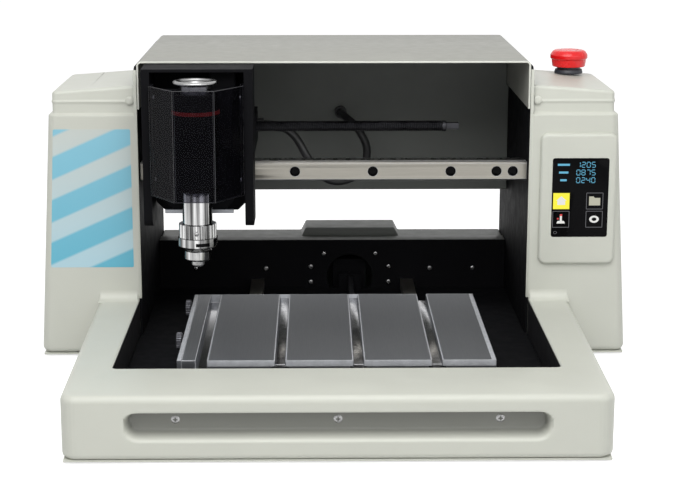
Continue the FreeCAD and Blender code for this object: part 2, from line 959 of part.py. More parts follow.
def lower_rear_casing():
    """Shell behind the low wall that houses the Y motor, with a low hump on its top."""
    body = new_body("lower_rear_casing")
    wall = s.casing_wall
    front = wall_front + s.wall_sheet
    deep = rear_y - front
    pad(body, "front", front, deep, [
        (-room_half, shell_low),
        (room_half, shell_low),
        (room_half, s.casing_top),
        (-room_half, s.casing_top),
    ])
    hump_front = wall_front + s.hump_back
    pad(body, "front", hump_front, rear_y - hump_front, [
        (s.hump_left, s.casing_top),
        (s.hump_right, s.casing_top),
        (s.hump_right - s.hump_slope, s.casing_top + s.hump_rise),
        (s.hump_left + s.hump_slope, s.casing_top + s.hump_rise),
    ])
    pocket(body, "front", front, deep - wall, [
        (-room_half + wall, shell_low),
        (room_half - wall, shell_low),
        (room_half - wall, s.casing_top - wall),
        (-room_half + wall, s.casing_top - wall),
    ])
    low = s.inlet_low
    for left, wide, tall in (
        (s.inlet_left, s.inlet_wide, s.inlet_tall),
        (s.switch_left, s.switch_wide, s.inlet_tall),
        (s.port_left, s.port_wide, s.port_tall),
    ):
        pocket(body, "front", rear_y - wall, wall, [
            (left, low),
            (left + wide, low),
            (left + wide, low + tall),
            (left, low + tall),
        ])


def touch_panel():
    """Raised plate on the right pod with a screen set into it."""
    body = new_body("touch_panel_frame")
    left = s.panel_plate_left
    right = s.panel_plate_right
    corner = s.panel_plate_corner
    face = pods_front - s.panel_plate_proud
    pad(body, "front", face, s.panel_plate_proud, [
        (left, plate_low, corner),
        (right, plate_low, corner),
        (right, plate_high, corner),
        (left, plate_high, corner),
    ])
    soften(body, s.panel_plate_bevel, lambda edge: on_rear(edge, face), "Chamfer")
    pocket(body, "front", face, s.screen_sunk, screen_corners(0))
    screen = new_body("touch_screen")
    gap = s.screen_gap
    pad(screen, "front", face + gap, s.screen_sunk - gap, screen_corners(gap))


def screen_corners(gap):
    """Corners of the screen's recess, or of the screen inside it."""
    left = s.panel_plate_left + s.screen_margin_left + gap
    right = s.panel_plate_right - s.screen_margin_right - gap
    low = plate_low + s.screen_margin_low + gap
    high = plate_high - s.screen_margin_high - gap
    return [(left, low), (right, low), (right, high), (left, high)]


def stop_top():
    """Height of the right pod's sloping top under the emergency stop."""
    reach = s.machine_width / 2 - s.inner_half
    return pod_top_inner - s.pod_fall * (s.stop_centre - s.inner_half) / reach


def emergency_stop():
    """Collar on the pod, and above it the stem and mushroom head that press and turn."""
    collar = new_body("estop_collar")
    stop_back = pods_front + s.stop_inset
    place(collar, s.stop_centre, stop_back, 0)
    low = stop_top() + s.stop_collar_stand
    high = low + s.stop_collar_tall
    revolve(collar, [
        (s.stop_stem_radius + s.running_gap, low),
        (s.stop_collar_radius + 1.5, low),
        (s.stop_collar_radius, low + 3),
        (s.stop_collar_radius, high),
        (s.stop_stem_radius + s.running_gap, high),
    ])
    stem = new_body("estop_stem")
    place(stem, s.stop_centre, stop_back, 0)
    head_low = high + s.stop_head_stand
    stem_low = low + s.stop_stroke + s.running_gap
    pad(stem, "top", stem_low, head_low - stem_low, rings=[(0, 0, s.stop_stem_radius)])
    head = new_body("estop_head")
    place(head, s.stop_centre, stop_back, 0)
    radius = s.stop_head_radius
    tall = s.stop_head_tall
    revolve(head, [
        (0, head_low),
        (radius * 0.8, head_low),
        (radius, head_low + tall * 0.37),
        (radius, head_low + tall * 0.53),
        (radius * 0.86, head_low + tall * 0.84),
        (radius * 0.62, head_low + tall),
        (0, head_low + tall),
    ])


def x_rail():
    """Profiled guide rail with a ball groove in its top and bottom, and the bar behind it."""
    body = new_body("x_rail")
    half = chassis_half - s.seat_gap
    low = s.rail_low
    front = rail_front
    groove = s.rail_groove
    waist = front + s.rail_thick * 0.42
    pad(body, "side", -half, half * 2, [
        (front, low + 1.5),
        (front + 1.5, low),
        (waist - groove, low),
        (waist, low + groove),
        (waist + groove, low),
        (rail_rear, low),
        (rail_rear, rail_high),
        (waist + groove, rail_high),
        (waist, rail_high - groove),
        (waist - groove, rail_high),
        (front + 1.5, rail_high),
        (front, rail_high - 1.5),
    ])
    middle = (s.rail_low + rail_high) / 2
    seats = []
    caps = []
    for row, x in enumerate(rail_cap_places()):
        seats.append((x, middle, s.cap_radius))
        caps.append(drum("rail_cap_%d" % row, "Y", x, front + 0.2, middle, s.cap_radius, s.cap_sunk - 0.2))
    pocket(body, "front", front, s.cap_sunk, rings=seats)
    keep(group("x_rail_caps", caps), "x_rail_caps")
    keep(block("x_rail_bar", -half, rail_rear, low - s.bar_drop,
               half * 2, s.bar_thick, s.rail_width + s.bar_drop / 2), "x_rail_bar")


def rail_cap_places():
    """Hole plugs at an even pitch, with two more near each end of the rail."""
    ends = [s.cap_pitch * 2.09, s.cap_pitch * 2.3]
    places = [s.cap_pitch * step for step in (-1.5, -0.5, 0.5, 1.5)]
    return places + ends + [-end for end in ends]


def x_drive():
    """Leadscrew carried at its left end only, its flange bearing and the motor in the left pod."""
    start = -s.inner_half - s.motor_stand
    square = s.screw_square
    length = s.screw_end - s.screw_square_length - start
    shaft = drum("x_screw_shaft", "X", start, screw_depth, screw_height, s.screw_radius, length)
    end = block("x_screw_square", s.screw_end - s.screw_square_length, screw_depth - square / 2,
                screw_height - square / 2, s.screw_square_length, square, square)
    keep(fuse("x_leadscrew", [shaft, end]), "x_leadscrew")
    flange = drum("x_bearing_flange", "X", -chassis_half, screw_depth, screw_height,
                  s.flange_radius_x, s.flange_thick)
    bore = drum("x_bearing_bore", "X", -chassis_half - 1, screw_depth, screw_height,
                s.screw_radius + s.seat_gap, s.flange_thick + 2)
    bearing = cut("x_bearing", flange, bore)
    side = s.motor_side
    far = start - s.seat_gap - s.motor_length
    body = inner_body("x_motor")
    pad(body, "side", far, s.motor_length, [
        (screw_depth - side / 2, screw_height - side / 2, 4),
        (screw_depth + side / 2, screw_height - side / 2, 4),
        (screw_depth + side / 2, screw_height + side / 2, 4),
        (screw_depth - side / 2, screw_height + side / 2, 4),
    ])
    posts = []
    for dy in (-1, 1):
        for dz in (-1, 1):
            posts.append((screw_depth + dy * side * 0.37, screw_height + dz * side * 0.37, s.post_radius))
    pad(body, "side", far + s.motor_length, s.motor_stand + s.seat_gap, rings=posts)
    return bearing, body


def y_guides():
    """Two table rails on the floor, the blocks that run on them and the table's nut."""
    rails = []
    blocks = []
    length = wall_front - s.seat_gap * 2 - y_rail_front
    for sign in (-1, 1):
        middle = s.y_rail_pitch * sign
        rails.append(block("y_rail_%d" % (sign + 1), middle - s.y_rail_wide / 2, y_rail_front,
                           s.floor_top, s.y_rail_wide, length, s.y_rail_tall))
        for end in (0, 1):
            y = table_front + s.y_block_inset + (s.table_length - s.y_block_inset * 2 - s.y_block_long) * end
            blocks.append(running_block("y_block_%d%d" % (sign + 1, end), middle, y))
    keep(group("y_rails", rails), "y_rails")
    keep(group("table_blocks", blocks + [table_nut()]), "table_blocks")


def running_block(name, middle, y):
    """One carriage block that straddles a table rail."""
    body_block = block(name + "_body", middle - s.y_block_wide / 2, y, s.y_block_low,
                       s.y_block_wide, s.y_block_long, table_low - s.y_block_low)
    gap = s.running_gap
    way = block(name + "_way", middle - s.y_rail_wide / 2 - gap, y - 1, s.y_block_low - 1,
                s.y_rail_wide + gap * 2, s.y_block_long + 2, y_rail_high + gap - s.y_block_low + 1)
    return cut(name, body_block, way)


def table_nut():
    """Nut under the table that the Y leadscrew drives."""
    side = s.y_screw_side
    height = s.y_screw_height
    wide = s.y_nut_wide
    nut_y = table_front + s.y_nut_inset
    low = height - s.y_nut_drop
    nut = block("y_nut_body", side - wide / 2, nut_y, low, wide, s.y_nut_long, table_low - low)
    bore = drum("y_nut_bore", "Y", side, nut_y - 1, height, s.y_screw_radius + s.seat_gap,
                s.y_nut_long + 2)
    return cut("y_nut", nut, bore)


def y_drive(x_bearing, x_motor):
    """Table leadscrew along the floor, its two bearings and the motor behind the low wall."""
    side = s.y_screw_side
    height = s.y_screw_height
    start = y_rail_front
    end = wall_front + s.wall_sheet + 6
    keep(drum("y_leadscrew", "Y", side, start, height, s.y_screw_radius, end - start), "y_leadscrew")
    bearings = [x_bearing]
    wide = s.y_bearing_wide
    for row, y in enumerate((start + 1, wall_front - s.y_bearing_long - 1)):
        stand = block("y_bearing_stand_%d" % row, side - wide / 2, y, s.floor_top,
                      wide, s.y_bearing_long, height + 6 - s.floor_top)
        bore = drum("y_bearing_bore_%d" % row, "Y", side, y - 1, height,
                    s.y_screw_radius + s.seat_gap, s.y_bearing_long + 2)
        bearings.append(cut("y_bearing_%d" % row, stand, bore))
    keep(group("screw_bearings", bearings), "screw_bearings")
    motor = inner_body("y_motor")
    half = s.motor_side / 2 - 1.2
    front = end + s.seat_gap
    pad(motor, "front", front, s.motor_length, [
        (side - half, shell_low, 4),
        (side + half, shell_low, 4),
        (side + half, height + half, 4),
        (side - half, height + half, 4),
    ])
    keep(group("drive_motors", [x_motor, motor]), "drive_motors")


def table_plate():
    """Thick plate with T-slots along Y, and a rebate on its left for the sliding jaw."""
    body = new_body("table_plate")
    half = s.table_half
    pad(body, "front", table_front, s.table_length, [
        (-half, table_low),
        (half, table_low),
        (half, s.table_top),
        (-half, s.table_top),
    ])
    neck = s.slot_neck / 2
    head = s.slot_head / 2
    step = s.table_top - s.slot_neck_depth
    x = s.slot_first
    slot = pocket(body, "front", table_front, s.table_length, [
        (x - neck, s.table_top),
        (x - neck, step),
        (x - head, step),
        (x - head, step - s.slot_head_depth),
        (x + head, step - s.slot_head_depth),
        (x + head, step),
        (x + neck, step),
        (x + neck, s.table_top),
    ])
    repeat(body, slot, "X", s.slot_pitch, s.slot_count)
    rebate = -half + s.strip_wide
    pocket(body, "front", table_front, s.table_length, [
        (rebate, s.table_top - s.jaw_tall),
        (rebate + s.jaw_room, s.table_top - s.jaw_tall),
        (rebate + s.jaw_room, s.table_top),
        (rebate, s.table_top),
    ])
    height = s.table_top - s.jaw_tall / 2
    rings = []
    for y in thumb_places():
        rings.append((y, height, s.thumb_stem_radius + s.seat_gap))
    pocket(body, "side", -half, s.strip_wide, rings=rings)


def thumb_places():
    """Where the two thumb screws stand along the table."""
    first = table_front + s.thumb_inset
    return [first, first + s.thumb_pitch]


def clamp_jaw():
    """Long jaw that slides across the rebate, pushed by two knurled thumb screws."""
    left = -s.table_half + s.strip_wide + s.seat_gap
    low = s.table_top - s.jaw_tall + s.seat_gap
    keep(block("clamp_jaw", left, table_front + 1, low, s.jaw_wide, s.table_length - 2,
               s.jaw_tall - s.seat_gap), "clamp_jaw")
    height = s.table_top - s.jaw_tall / 2
    for row, y in enumerate(thumb_places()):
        head_x = -s.table_half - s.thumb_length - s.thumb_stand
        head = drum("thumb_head_%d" % row, "X", head_x, y, height, s.thumb_radius, s.thumb_length)
        reach = left - s.seat_gap / 2 - head_x
        stem = drum("thumb_stem_%d" % row, "X", head_x, y, height, s.thumb_stem_radius, reach)
        name = "thumb_screw_" + ("front", "rear")[row]
        keep(fuse(name, [head, stem]), name)


def carriage():
    """Head carriage: two cheeks under a lid, the plate on the rail blocks and the nut arm."""
    x = s.carriage_rest
    half = s.carriage_half
    housing = new_body("carriage_housing")
    lid_low = carriage_top - s.lid_thick
    deep = plate_rear - carriage_front
    for sign in (-1, 1):
        outer = x + half * sign
        inner = x + cheek_inner * sign
        start = outer if sign < 0 else inner
        pad(housing, "side", start, s.cheek_thick, [
            (carriage_front, s.carriage_low, 8),
            (plate_rear, s.carriage_low),
            (plate_rear, lid_low),
            (carriage_front, lid_low),
        ])
    pad(housing, "top", lid_low, s.lid_thick, [
        (x - half, carriage_front, 3),
        (x + half, carriage_front, 3),
        (x + half, plate_rear),
        (x - half, plate_rear),
    ])
    plate = new_body("carriage_plate")
    inner = cheek_inner - s.seat_gap
    corner = s.plate_corner
    pad(plate, "front", plate_front, plate_rear - plate_front, [
        (x - inner + corner, s.plate_low),
        (x + inner - corner, s.plate_low),
        (x + inner, s.plate_low + corner),
        (x + inner, lid_low - s.seat_gap),
        (x - inner, lid_low - s.seat_gap),
        (x - inner, s.plate_low + corner),
    ])
    middle = (s.rail_low + rail_high) / 2
    gap = s.running_gap
    blocks = []
    for row, sign in enumerate((-1, 1)):
        start = x + sign * (s.x_block_long / 2 + 4) - s.x_block_long / 2
        solid = block("x_block_body_%d" % row, start, plate_rear, middle - s.x_block_wide / 2,
                      s.x_block_long, s.x_block_deep, s.x_block_wide)
        way = block("x_block_way_%d" % row, start - 1, rail_front - gap, s.rail_low - gap,
                    s.x_block_long + 2, s.x_block_deep, s.rail_width + gap * 2)
        blocks.append(cut("x_block_%d" % row, solid, way))
    keep(group("x_bearing_blocks", blocks), "x_bearing_blocks")
    nut_arm()


def nut_arm():
    """Bracket that reaches over the rail to the leadscrew nut and the cable clip."""
    x = s.carriage_rest
    body = new_body("x_nut_arm")
    right = x + s.carriage_half
    thick = s.arm_thick
    arm_rear = screw_depth + s.arm_back
    pad(body, "top", screw_height - s.arm_under, s.arm_under + s.arm_over, [
        (x - s.nut_length / 2, plate_rear),
        (right, plate_rear),
        (right, arm_rear),
        (right - thick, arm_rear),
        (right - thick, screw_depth + s.nut_radius + 2),
        (x - s.nut_length / 2, screw_depth + s.nut_radius + 2),
    ])
    pocket(body, "side", x - s.nut_length / 2, s.carriage_half + s.nut_length, rings=[
        (screw_depth, screw_height, s.screw_radius + s.running_gap),
    ])


def smoked_guard():
    """Faceted smoked sheet in front of the spindle, fixed to the cheeks."""
    x = s.carriage_rest
    half = cheek_inner - s.seat_gap
    face = s.guard_face_half
    thick = s.guard_sheet
    rear = carriage_front + s.guard_lap
    knee = carriage_front - s.guard_knee
    body = new_body("spindle_guard")
    pad(body, "top", s.guard_low, guard_high - s.guard_low, [
        (x - half, rear),
        (x - half, knee),
        (x - face, guard_front),
        (x + face, guard_front),
        (x + half, knee),
        (x + half, rear),
        (x + half - thick, rear),
        (x + half - thick, knee + thick * 0.45),
        (x + face - thick * 0.5, guard_front + thick),
        (x - face + thick * 0.5, guard_front + thick),
        (x - half + thick, knee + thick * 0.45),
        (x - half + thick, rear),
    ])


def z_axis():
    """Z rail, block, leadscrew and motor inside the carriage, and the plate that they move."""
    x = s.carriage_rest
    front = plate_front - s.z_rail_deep
    keep(block("z_rail", x - s.z_rail_wide / 2, front, s.plate_low + 1, s.z_rail_wide, s.z_rail_deep,
               s.z_block_low + s.z_block_tall - s.plate_low + 20), "z_rail")
    plate_back = z_plate_front + s.z_plate_thick
    gap = s.running_gap
    wide = s.z_rail_wide + 14
    solid = block("z_block_body", x - wide / 2, plate_back, s.z_block_low, wide,
                  plate_front - 2 - plate_back, s.z_block_tall)
    way = block("z_block_way", x - s.z_rail_wide / 2 - gap, front - gap, s.z_block_low - 1,
                s.z_rail_wide + gap * 2, s.z_rail_deep + 20, s.z_block_tall + 2)
    runner = cut("z_runner", solid, way)
    screw_x = x + s.z_screw_side
    screw_y = (plate_front + plate_back) / 2
    motor_low = carriage_top - s.lid_thick - s.z_motor_tall
    low = s.plate_low + 2
    keep(drum("z_leadscrew", "Z", screw_x, screw_y, low, s.z_screw_radius, motor_low - low - s.seat_gap),
         "z_leadscrew")
    side = s.z_motor_side
    motor = new_body("z_motor")
    pad(motor, "top", motor_low, s.z_motor_tall, [
        (screw_x - side / 2, screw_y - side / 2, 3),
        (screw_x + side / 2, screw_y - side / 2, 3),
        (screw_x + side / 2, screw_y + side / 2, 3),
        (screw_x - side / 2, screw_y + side / 2, 3),
    ])
    nut = block("z_nut_body", screw_x - 7, plate_back, s.z_block_low + 8, 14,
                screw_y + 6 - plate_back, 16)
    bore = drum("z_nut_bore", "Z", screw_x, screw_y, s.z_block_low + 7, s.z_screw_radius + s.seat_gap, 18)
    keep(group("z_block", [runner, cut("z_nut", nut, bore)]), "z_block")
    plate = new_body("z_plate")
    half = s.z_plate_half
    pad(plate, "front", z_plate_front, s.z_plate_thick, [
        (x - half + s.plate_corner, s.z_plate_low),
        (x + half - s.plate_corner, s.z_plate_low),
        (x + half, s.z_plate_low + s.plate_corner),
        (x + half, carriage_top - s.z_plate_drop),
        (x - half, carriage_top - s.z_plate_drop),
        (x - half, s.z_plate_low + s.plate_corner),
    ])
    strip_low = s.z_plate_low - 4
    keep(block("z_plate_strip", x - half, z_plate_front, strip_low, half * 2, s.z_plate_thick, 4),
         "z_plate_strip")


def spindle():
    """Spindle clamp, motor body with its red band, quill, depth collar and cutter nose."""
    x = s.carriage_rest
    y = spindle_front
    clamp = new_body("spindle_clamp")
    reach = s.spindle_radius + s.clamp_wall
    tall = s.clamp_high - s.clamp_low
    pad(clamp, "top", s.clamp_low, tall, [
        (x - reach, y),
        (x + reach, y),
        (x + reach, z_plate_front),
        (x - reach, z_plate_front),
    ])
    pad(clamp, "top", s.clamp_low, tall, rings=[(x, y, reach)])
    pocket(clamp, "top", s.clamp_low, tall, rings=[(x, y, s.spindle_radius + s.seat_gap)])
    motor = turned_at("spindle_body", x, y)
    groove = s.spindle_radius - 0.8
    revolve(motor, [
        (0, s.spindle_low),
        (s.spindle_radius, s.spindle_low),
        (s.spindle_radius, band_low),
        (groove, band_low),
        (groove, band_high),
        (s.spindle_radius, band_high),
        (s.spindle_radius, spindle_high - 2),
        (s.spindle_radius - 2, spindle_high),
        (0, spindle_high),
    ])
    band = turned_at("spindle_band", x, y)
    revolve(band, [
        (groove + 0.05, band_low + 0.05),
        (s.spindle_radius + 0.5, band_low + 0.05),
        (s.spindle_radius + 0.5, band_high - 0.05),
        (groove + 0.05, band_high - 0.05),
    ])
    cap = turned_at("spindle_cap", x, y)
    revolve(cap, [
        (0, spindle_high),
        (s.neck_radius, spindle_high),
        (s.neck_radius, ring_low),
        (s.ring_radius, ring_low),
        (s.ring_radius, ring_high),
        (s.neck_radius - 4, ring_high),
        (s.neck_radius - 4, ring_high - 2),
        (0, ring_high - 2),
    ])
    quill = turned_at("spindle_quill", x, y)
    bore = s.shaft_radius + s.running_gap
    revolve(quill, [
        (bore, s.collar_high),
        (s.quill_radius, s.collar_high),
        (s.quill_radius, s.spindle_low),
        (bore, s.spindle_low),
    ])
    nose_pieces(x, y, bore)


def turned_at(name, x, y):
    """Start a turned body whose axis stands at x, y."""
    return place(new_body(name), x, y, 0)


def nose_pieces(x, y, bore):
    """Fluted depth collar, the flange under it, and the shaft with its collet nut and cutter."""
    collar = turned_at("depth_collar", x, y)
    pad(collar, "top", s.collar_low + s.seat_gap, s.collar_high - s.collar_low - s.seat_gap * 2, rings=[
        (0, 0, s.collar_radius),
        (0, 0, bore),
    ])
    flute = pocket(collar, "top", s.collar_low, s.collar_high - s.collar_low, rings=[
        (s.collar_radius + 0.6, 0, 1.7),
    ])
    turn_copies(collar, flute, s.flute_count)
    flange = turned_at("depth_flange", x, y)
    revolve(flange, [
        (bore, s.flange_low),
        (s.flange_radius - 1, s.flange_low),
        (s.flange_radius, s.flange_low + 1),
        (s.flange_radius, s.collar_low),
        (bore, s.collar_low),
    ])
    shaft = turned_at("spindle_shaft", x, y)
    revolve(shaft, [
        (0, s.nose_high),
        (s.shaft_radius, s.nose_high),
        (s.shaft_radius, s.spindle_low - s.seat_gap),
        (0, s.spindle_low - s.seat_gap),
    ])
    nut = turned_at("collet_nut", x, y)
    revolve(nut, [
        (0, s.nose_low),
        (s.nose_radius - 2, s.nose_low),
        (s.nose_radius, s.nose_low + 2),
        (s.nose_radius, s.nose_high - 1),
        (s.nose_radius - 1, s.nose_high),
        (0, s.nose_high),
    ])
    cutter = turned_at("cutter", x, y)
    revolve(cutter, [
        (0, s.tip_low),
        (s.tip_radius - 2, s.tip_low),
        (s.tip_radius, s.tip_low + 2),
        (s.tip_radius, s.nose_low),
        (0, s.nose_low),
    ])


def turn_copies(body, feature, count):
    """Repeat the last feature round the body's own Z axis."""
    pattern = body.newObject("PartDesign::PolarPattern", body.Name + "_pattern")
    pattern.Originals = [feature]
    axes = [item for item in body.Origin.OriginFeatures if item.Role == "Z_Axis"]
    pattern.Axis = (axes[0], [""])
    pattern.Angle = 360
    bind(pattern, "Occurrences", count)
    body.Tip = pattern


def guard_screws():
    """Two small screws that hold the guard's sides to the cheeks."""
    screws = []
    x = s.carriage_rest
    inner = cheek_inner - s.seat_gap - s.guard_sheet
    for sign in (-1, 1):
        for level in (s.guard_low + 14, guard_high - 14):
            start = x + inner * sign - (1.2 if sign > 0 else 0)
            name = "guard_screw_%d_%d" % (sign + 1, len(screws))
            screws.append(drum(name, "X", start, carriage_front + 4, level, 2.4, 1.2))
    keep(group("guard_screws", screws), "guard_screws")


def rear_fittings():
    """Mains inlet, rocker switch and data port, set flush in the lower rear casing."""
    gap = s.seat_gap
    depth = s.inlet_depth
    front = rear_y - depth
    inlet = inner_body("power_inlet")
    low = s.inlet_low
    high = low + s.inlet_tall
    pad(inlet, "front", front, depth, [
        (s.inlet_left + gap, low + gap),
        (s.inlet_left + s.inlet_wide - gap, low + gap),
        (s.inlet_left + s.inlet_wide - gap, high - gap),
        (s.inlet_left + gap, high - gap),
    ])
    pocket(inlet, "front", rear_y - depth + 3, depth - 3, [
        (s.inlet_left + 4, low + 4),
        (s.inlet_left + s.inlet_wide - 4, low + 4),
        (s.inlet_left + s.inlet_wide - 4, high - 4),
        (s.inlet_left + 4, high - 4),
    ])
    switch = inner_body("power_switch_frame")
    left = s.switch_left
    right = left + s.switch_wide
    pad(switch, "front", front, depth, [
        (left + gap, low + gap),
        (right - gap, low + gap),
        (right - gap, high - gap),
        (left + gap, high - gap),
    ])
    pocket(switch, "front", rear_y - s.rocker_deep, s.rocker_deep, [
        (left + 2.5, low + 2.5),
        (right - 2.5, low + 2.5),
        (right - 2.5, high - 2.5),
        (left + 2.5, high - 2.5),
    ])
    rocker = new_body("power_switch_rocker")
    edge = 2.5 + s.running_gap
    middle = (low + high) / 2
    face = rear_y - 1
    pad(rocker, "side", left + edge, s.switch_wide - edge * 2, [
        (rear_y - s.rocker_deep + 3, middle),
        (face - 2.4, low + edge + 0.6),
        (face, low + edge + 0.6),
        (face - 1.4, middle),
        (face, high - edge - 0.6),
        (face - 2.4, high - edge - 0.6),
    ])
    port = inner_body("data_port")
    left = s.port_left
    right = left + s.port_wide
    pad(port, "front", front, depth, [
        (left + gap, low + gap),
        (right - gap, low + gap),
        (right - gap, low + s.port_tall - gap),
        (left + gap, low + s.port_tall - gap),
    ])
    pocket(port, "front", rear_y - depth + 3, depth - 3, [
        (left + 2, low + 2),
        (right - 2, low + 2),
        (right - 2, low + s.port_tall - 2),
        (left + 2, low + s.port_tall - 2),
    ])
    keep(group("rear_sockets", [inlet, switch, port]), "rear_sockets")


def electronics():
    """Control board on four posts and the supply box, both behind the back panel."""
    panel_rear = wall_front + s.panel_sheet
    left = s.board_left
    low = s.panel_low + s.board_rise
    board = block("board_sheet", left, panel_rear + s.board_stand, low,
                  s.board_wide, s.board_thick, s.board_tall)
    pieces = [board]
    inset = s.board_inset
    for row in range(4):
        x = left + (s.board_wide - inset if row % 2 else inset)
        z = low + (s.board_tall - inset if row > 1 else inset)
        pieces.append(drum("board_post_%d" % row, "Y", x, panel_rear, z, s.board_post_radius, s.board_stand))
    supply = block("power_supply", s.supply_left, panel_rear + s.supply_gap, s.panel_low + s.panel_sheet,
                   s.supply_wide, s.supply_deep, s.supply_tall)
    keep(group("electronics", [fuse("control_board", pieces), supply]), "electronics")


def cable_points():
    """Route of the head cable, from the clip on the nut arm to the grommet in the back panel."""
    start = s.carriage_rest + s.carriage_half
    return [
        (float(start), 117.0, 244.0),
        (-63.0, 117.0, 244.0),
        (-42.0, 117.0, 232.0),
        (-28.0, 114.0, 203.0),
        (-4.0, 128.0, 173.0),
        (31.0, 148.0, 178.0),
        (43.0, 169.0, 206.0),
        (27.0, 185.0, 232.0),
        (15.0, 202.0, 239.0),
        (10.0, 217.0, 241.0),
        (10.0, float(wall_front), 241.0),
    ]


def tangent_path(points):
    """Straight runs joined by arcs as large as the two runs beside each corner allow."""
    corners = [FreeCAD.Vector(*point) for point in points]
    edges = []
    radii = []
    here = corners[0]
    for row in range(1, len(corners) - 1):
        back = corners[row - 1] - corners[row]
        ahead = corners[row + 1] - corners[row]
        turn = math.pi - back.getAngle(ahead)
        reach = 0.45 * min(back.Length, ahead.Length)
        radius = reach / math.tan(turn / 2)
        back.normalize()
        ahead.normalize()
        first = corners[row] + back * reach
        last = corners[row] + ahead * reach
        inward = (back + ahead).normalize()
        centre = corners[row] + inward * (radius / math.cos(turn / 2))
        middle = centre - inward * radius
        edges.append(Part.LineSegment(here, first).toShape())
        edges.append(Part.Arc(first, middle, last).toShape())
        radii.append(radius)
        here = last
    edges.append(Part.LineSegment(here, corners[-1]).toShape())
    return Part.Wire(edges), radii


def head_cable():
    """Free cable between the carriage and the back panel, with its grommet and clip."""
    path, radii = tangent_path(cable_points())
    radius = float(s.cable_radius)
    start = path.Edges[0].Curve.Direction
    ring_edge = Part.Circle(path.Vertexes[0].Point, start, radius).toShape()
    tube = path.makePipeShell([Part.Wire([ring_edge])], True, False)
    ideal = math.pi * radius ** 2 * path.Length
    print("cable length %.1f, radii %s" % (path.Length, ["%.1f" % value for value in radii]))
    print("cable volume %.1f against %.1f" % (tube.Volume, ideal))
    cable = doc.addObject("Part::Feature", "head_cable")
    cable.Shape = tube
    keep(cable, "head_cable")
    for name, tip, along in (("cable_gland", path.Edges[0].Vertexes[0].Point, start),
                             ("cable_grommet", path.Edges[-1].Vertexes[-1].Point,
                              path.Edges[-1].Curve.Direction * -1)):
        sleeve = Part.makeCylinder(radius + s.gland_wall.number, s.gland_length.number, tip, along)
        bore = Part.makeCylinder(radius + s.seat_gap.number, s.gland_length.number, tip, along)
        fitting = doc.addObject("Part::Feature", name)
        fitting.Shape = sleeve.cut(bore)
        keep(fitting, name)


def check_document():
    """Stop on a failed object, an empty shape, or a cut that took nothing away."""
    for item in doc.Objects:
        if "Invalid" in item.State or "Error" in item.State:
            raise RuntimeError("failed object: %s %s" % (item.Name, item.State))
        if item.TypeId == "PartDesign::Pocket" and item.BaseFeature is not None:
            if item.Shape.Volume > item.BaseFeature.Shape.Volume - 0.01:
                raise RuntimeError("this pocket cuts nothing: %s" % item.Name)
    for item in sub_parts:
        shape = item.Shape
        if shape.isNull() or not shape.isValid():
            raise RuntimeError("bad shape: %s" % item.Label)
        print("%-24s %d solids %10.0f mm3" % (item.Label, len(shape.Solids), shape.Volume))


def build():
    """Make every sub-part, check them and write one STEP file each."""
    base_sheet()
    rubber_feet()
    front_bezel()
    housing_screws()
    side_pod("left_pod", -1)
    side_pod("right_pod", 1)
    floor_pan()
    side_plate("left_side_plate", -1)
    side_plate("right_side_plate", 1)
    rear_wall()
    back_panel()
    hood()
    rear_cover()
    lower_rear_casing()
    rear_fittings()
    touch_panel()
    emergency_stop()
    x_rail()
    x_bearing, x_motor = x_drive()
    y_guides()
    y_drive(x_bearing, x_motor)
    table_plate()
    clamp_jaw()
    carriage()
    smoked_guard()
    guard_screws()
    z_axis()
    spindle()
    electronics()
    head_cable()
    doc.recompute()
    check_document()
    os.makedirs("parts", exist_ok=True)
    for item in sub_parts:
        item.Shape.exportStep("parts/%s.step" % item.Label)


build()
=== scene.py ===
import json
import math

import bmesh
import bpy
import numpy as np
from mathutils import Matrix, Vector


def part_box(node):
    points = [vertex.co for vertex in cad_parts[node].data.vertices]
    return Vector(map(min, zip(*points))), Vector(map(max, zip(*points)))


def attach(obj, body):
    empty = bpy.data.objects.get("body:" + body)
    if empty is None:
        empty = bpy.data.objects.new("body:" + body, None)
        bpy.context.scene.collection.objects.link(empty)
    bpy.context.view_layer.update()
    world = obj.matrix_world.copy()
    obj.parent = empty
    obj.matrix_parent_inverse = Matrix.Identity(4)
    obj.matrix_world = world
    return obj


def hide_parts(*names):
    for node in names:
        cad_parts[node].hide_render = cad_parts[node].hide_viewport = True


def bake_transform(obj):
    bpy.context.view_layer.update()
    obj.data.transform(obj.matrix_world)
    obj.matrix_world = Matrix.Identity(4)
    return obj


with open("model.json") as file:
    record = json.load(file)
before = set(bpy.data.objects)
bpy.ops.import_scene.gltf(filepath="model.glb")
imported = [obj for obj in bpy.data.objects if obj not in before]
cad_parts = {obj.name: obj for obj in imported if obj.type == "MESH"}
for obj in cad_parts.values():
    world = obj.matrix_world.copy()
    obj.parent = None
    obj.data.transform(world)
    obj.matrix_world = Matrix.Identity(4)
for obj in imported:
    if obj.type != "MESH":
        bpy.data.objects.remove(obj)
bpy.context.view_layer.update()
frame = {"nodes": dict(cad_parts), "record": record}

bl_info = {
    "name": "Engraving machine",
    "version": (1, 0, 0),
    "blender": (4, 5, 0),
    "location": "3D View > Sidebar > Engraver",
    "description": "Dresses the packed engraving machine with detail pieces and finishes",
    "category": "Object",
}

MM = 0.001
PHOTO_WIDTH = 674
SENSOR_WIDTH = 36.0


def settings():
    """The scene's own sizes and colours for this machine."""
    return bpy.context.scene.engraver


# Mesh helpers


def lattice(points, wrap_rows=False, wrap_columns=False):
    """Quads between the rows and columns of a grid of points, closed round where wrapped."""
    rows, columns = points.shape[:2]
    index = np.arange(rows * columns).reshape(rows, columns)
    if wrap_rows:
        index = np.vstack([index, index[:1]])
    if wrap_columns:
        index = np.hstack([index, index[:, :1]])
    quads = np.stack([index[:-1, :-1], index[:-1, 1:], index[1:, 1:], index[1:, :-1]], -1)
    return points.reshape(-1, 3), quads.reshape(-1, 4)


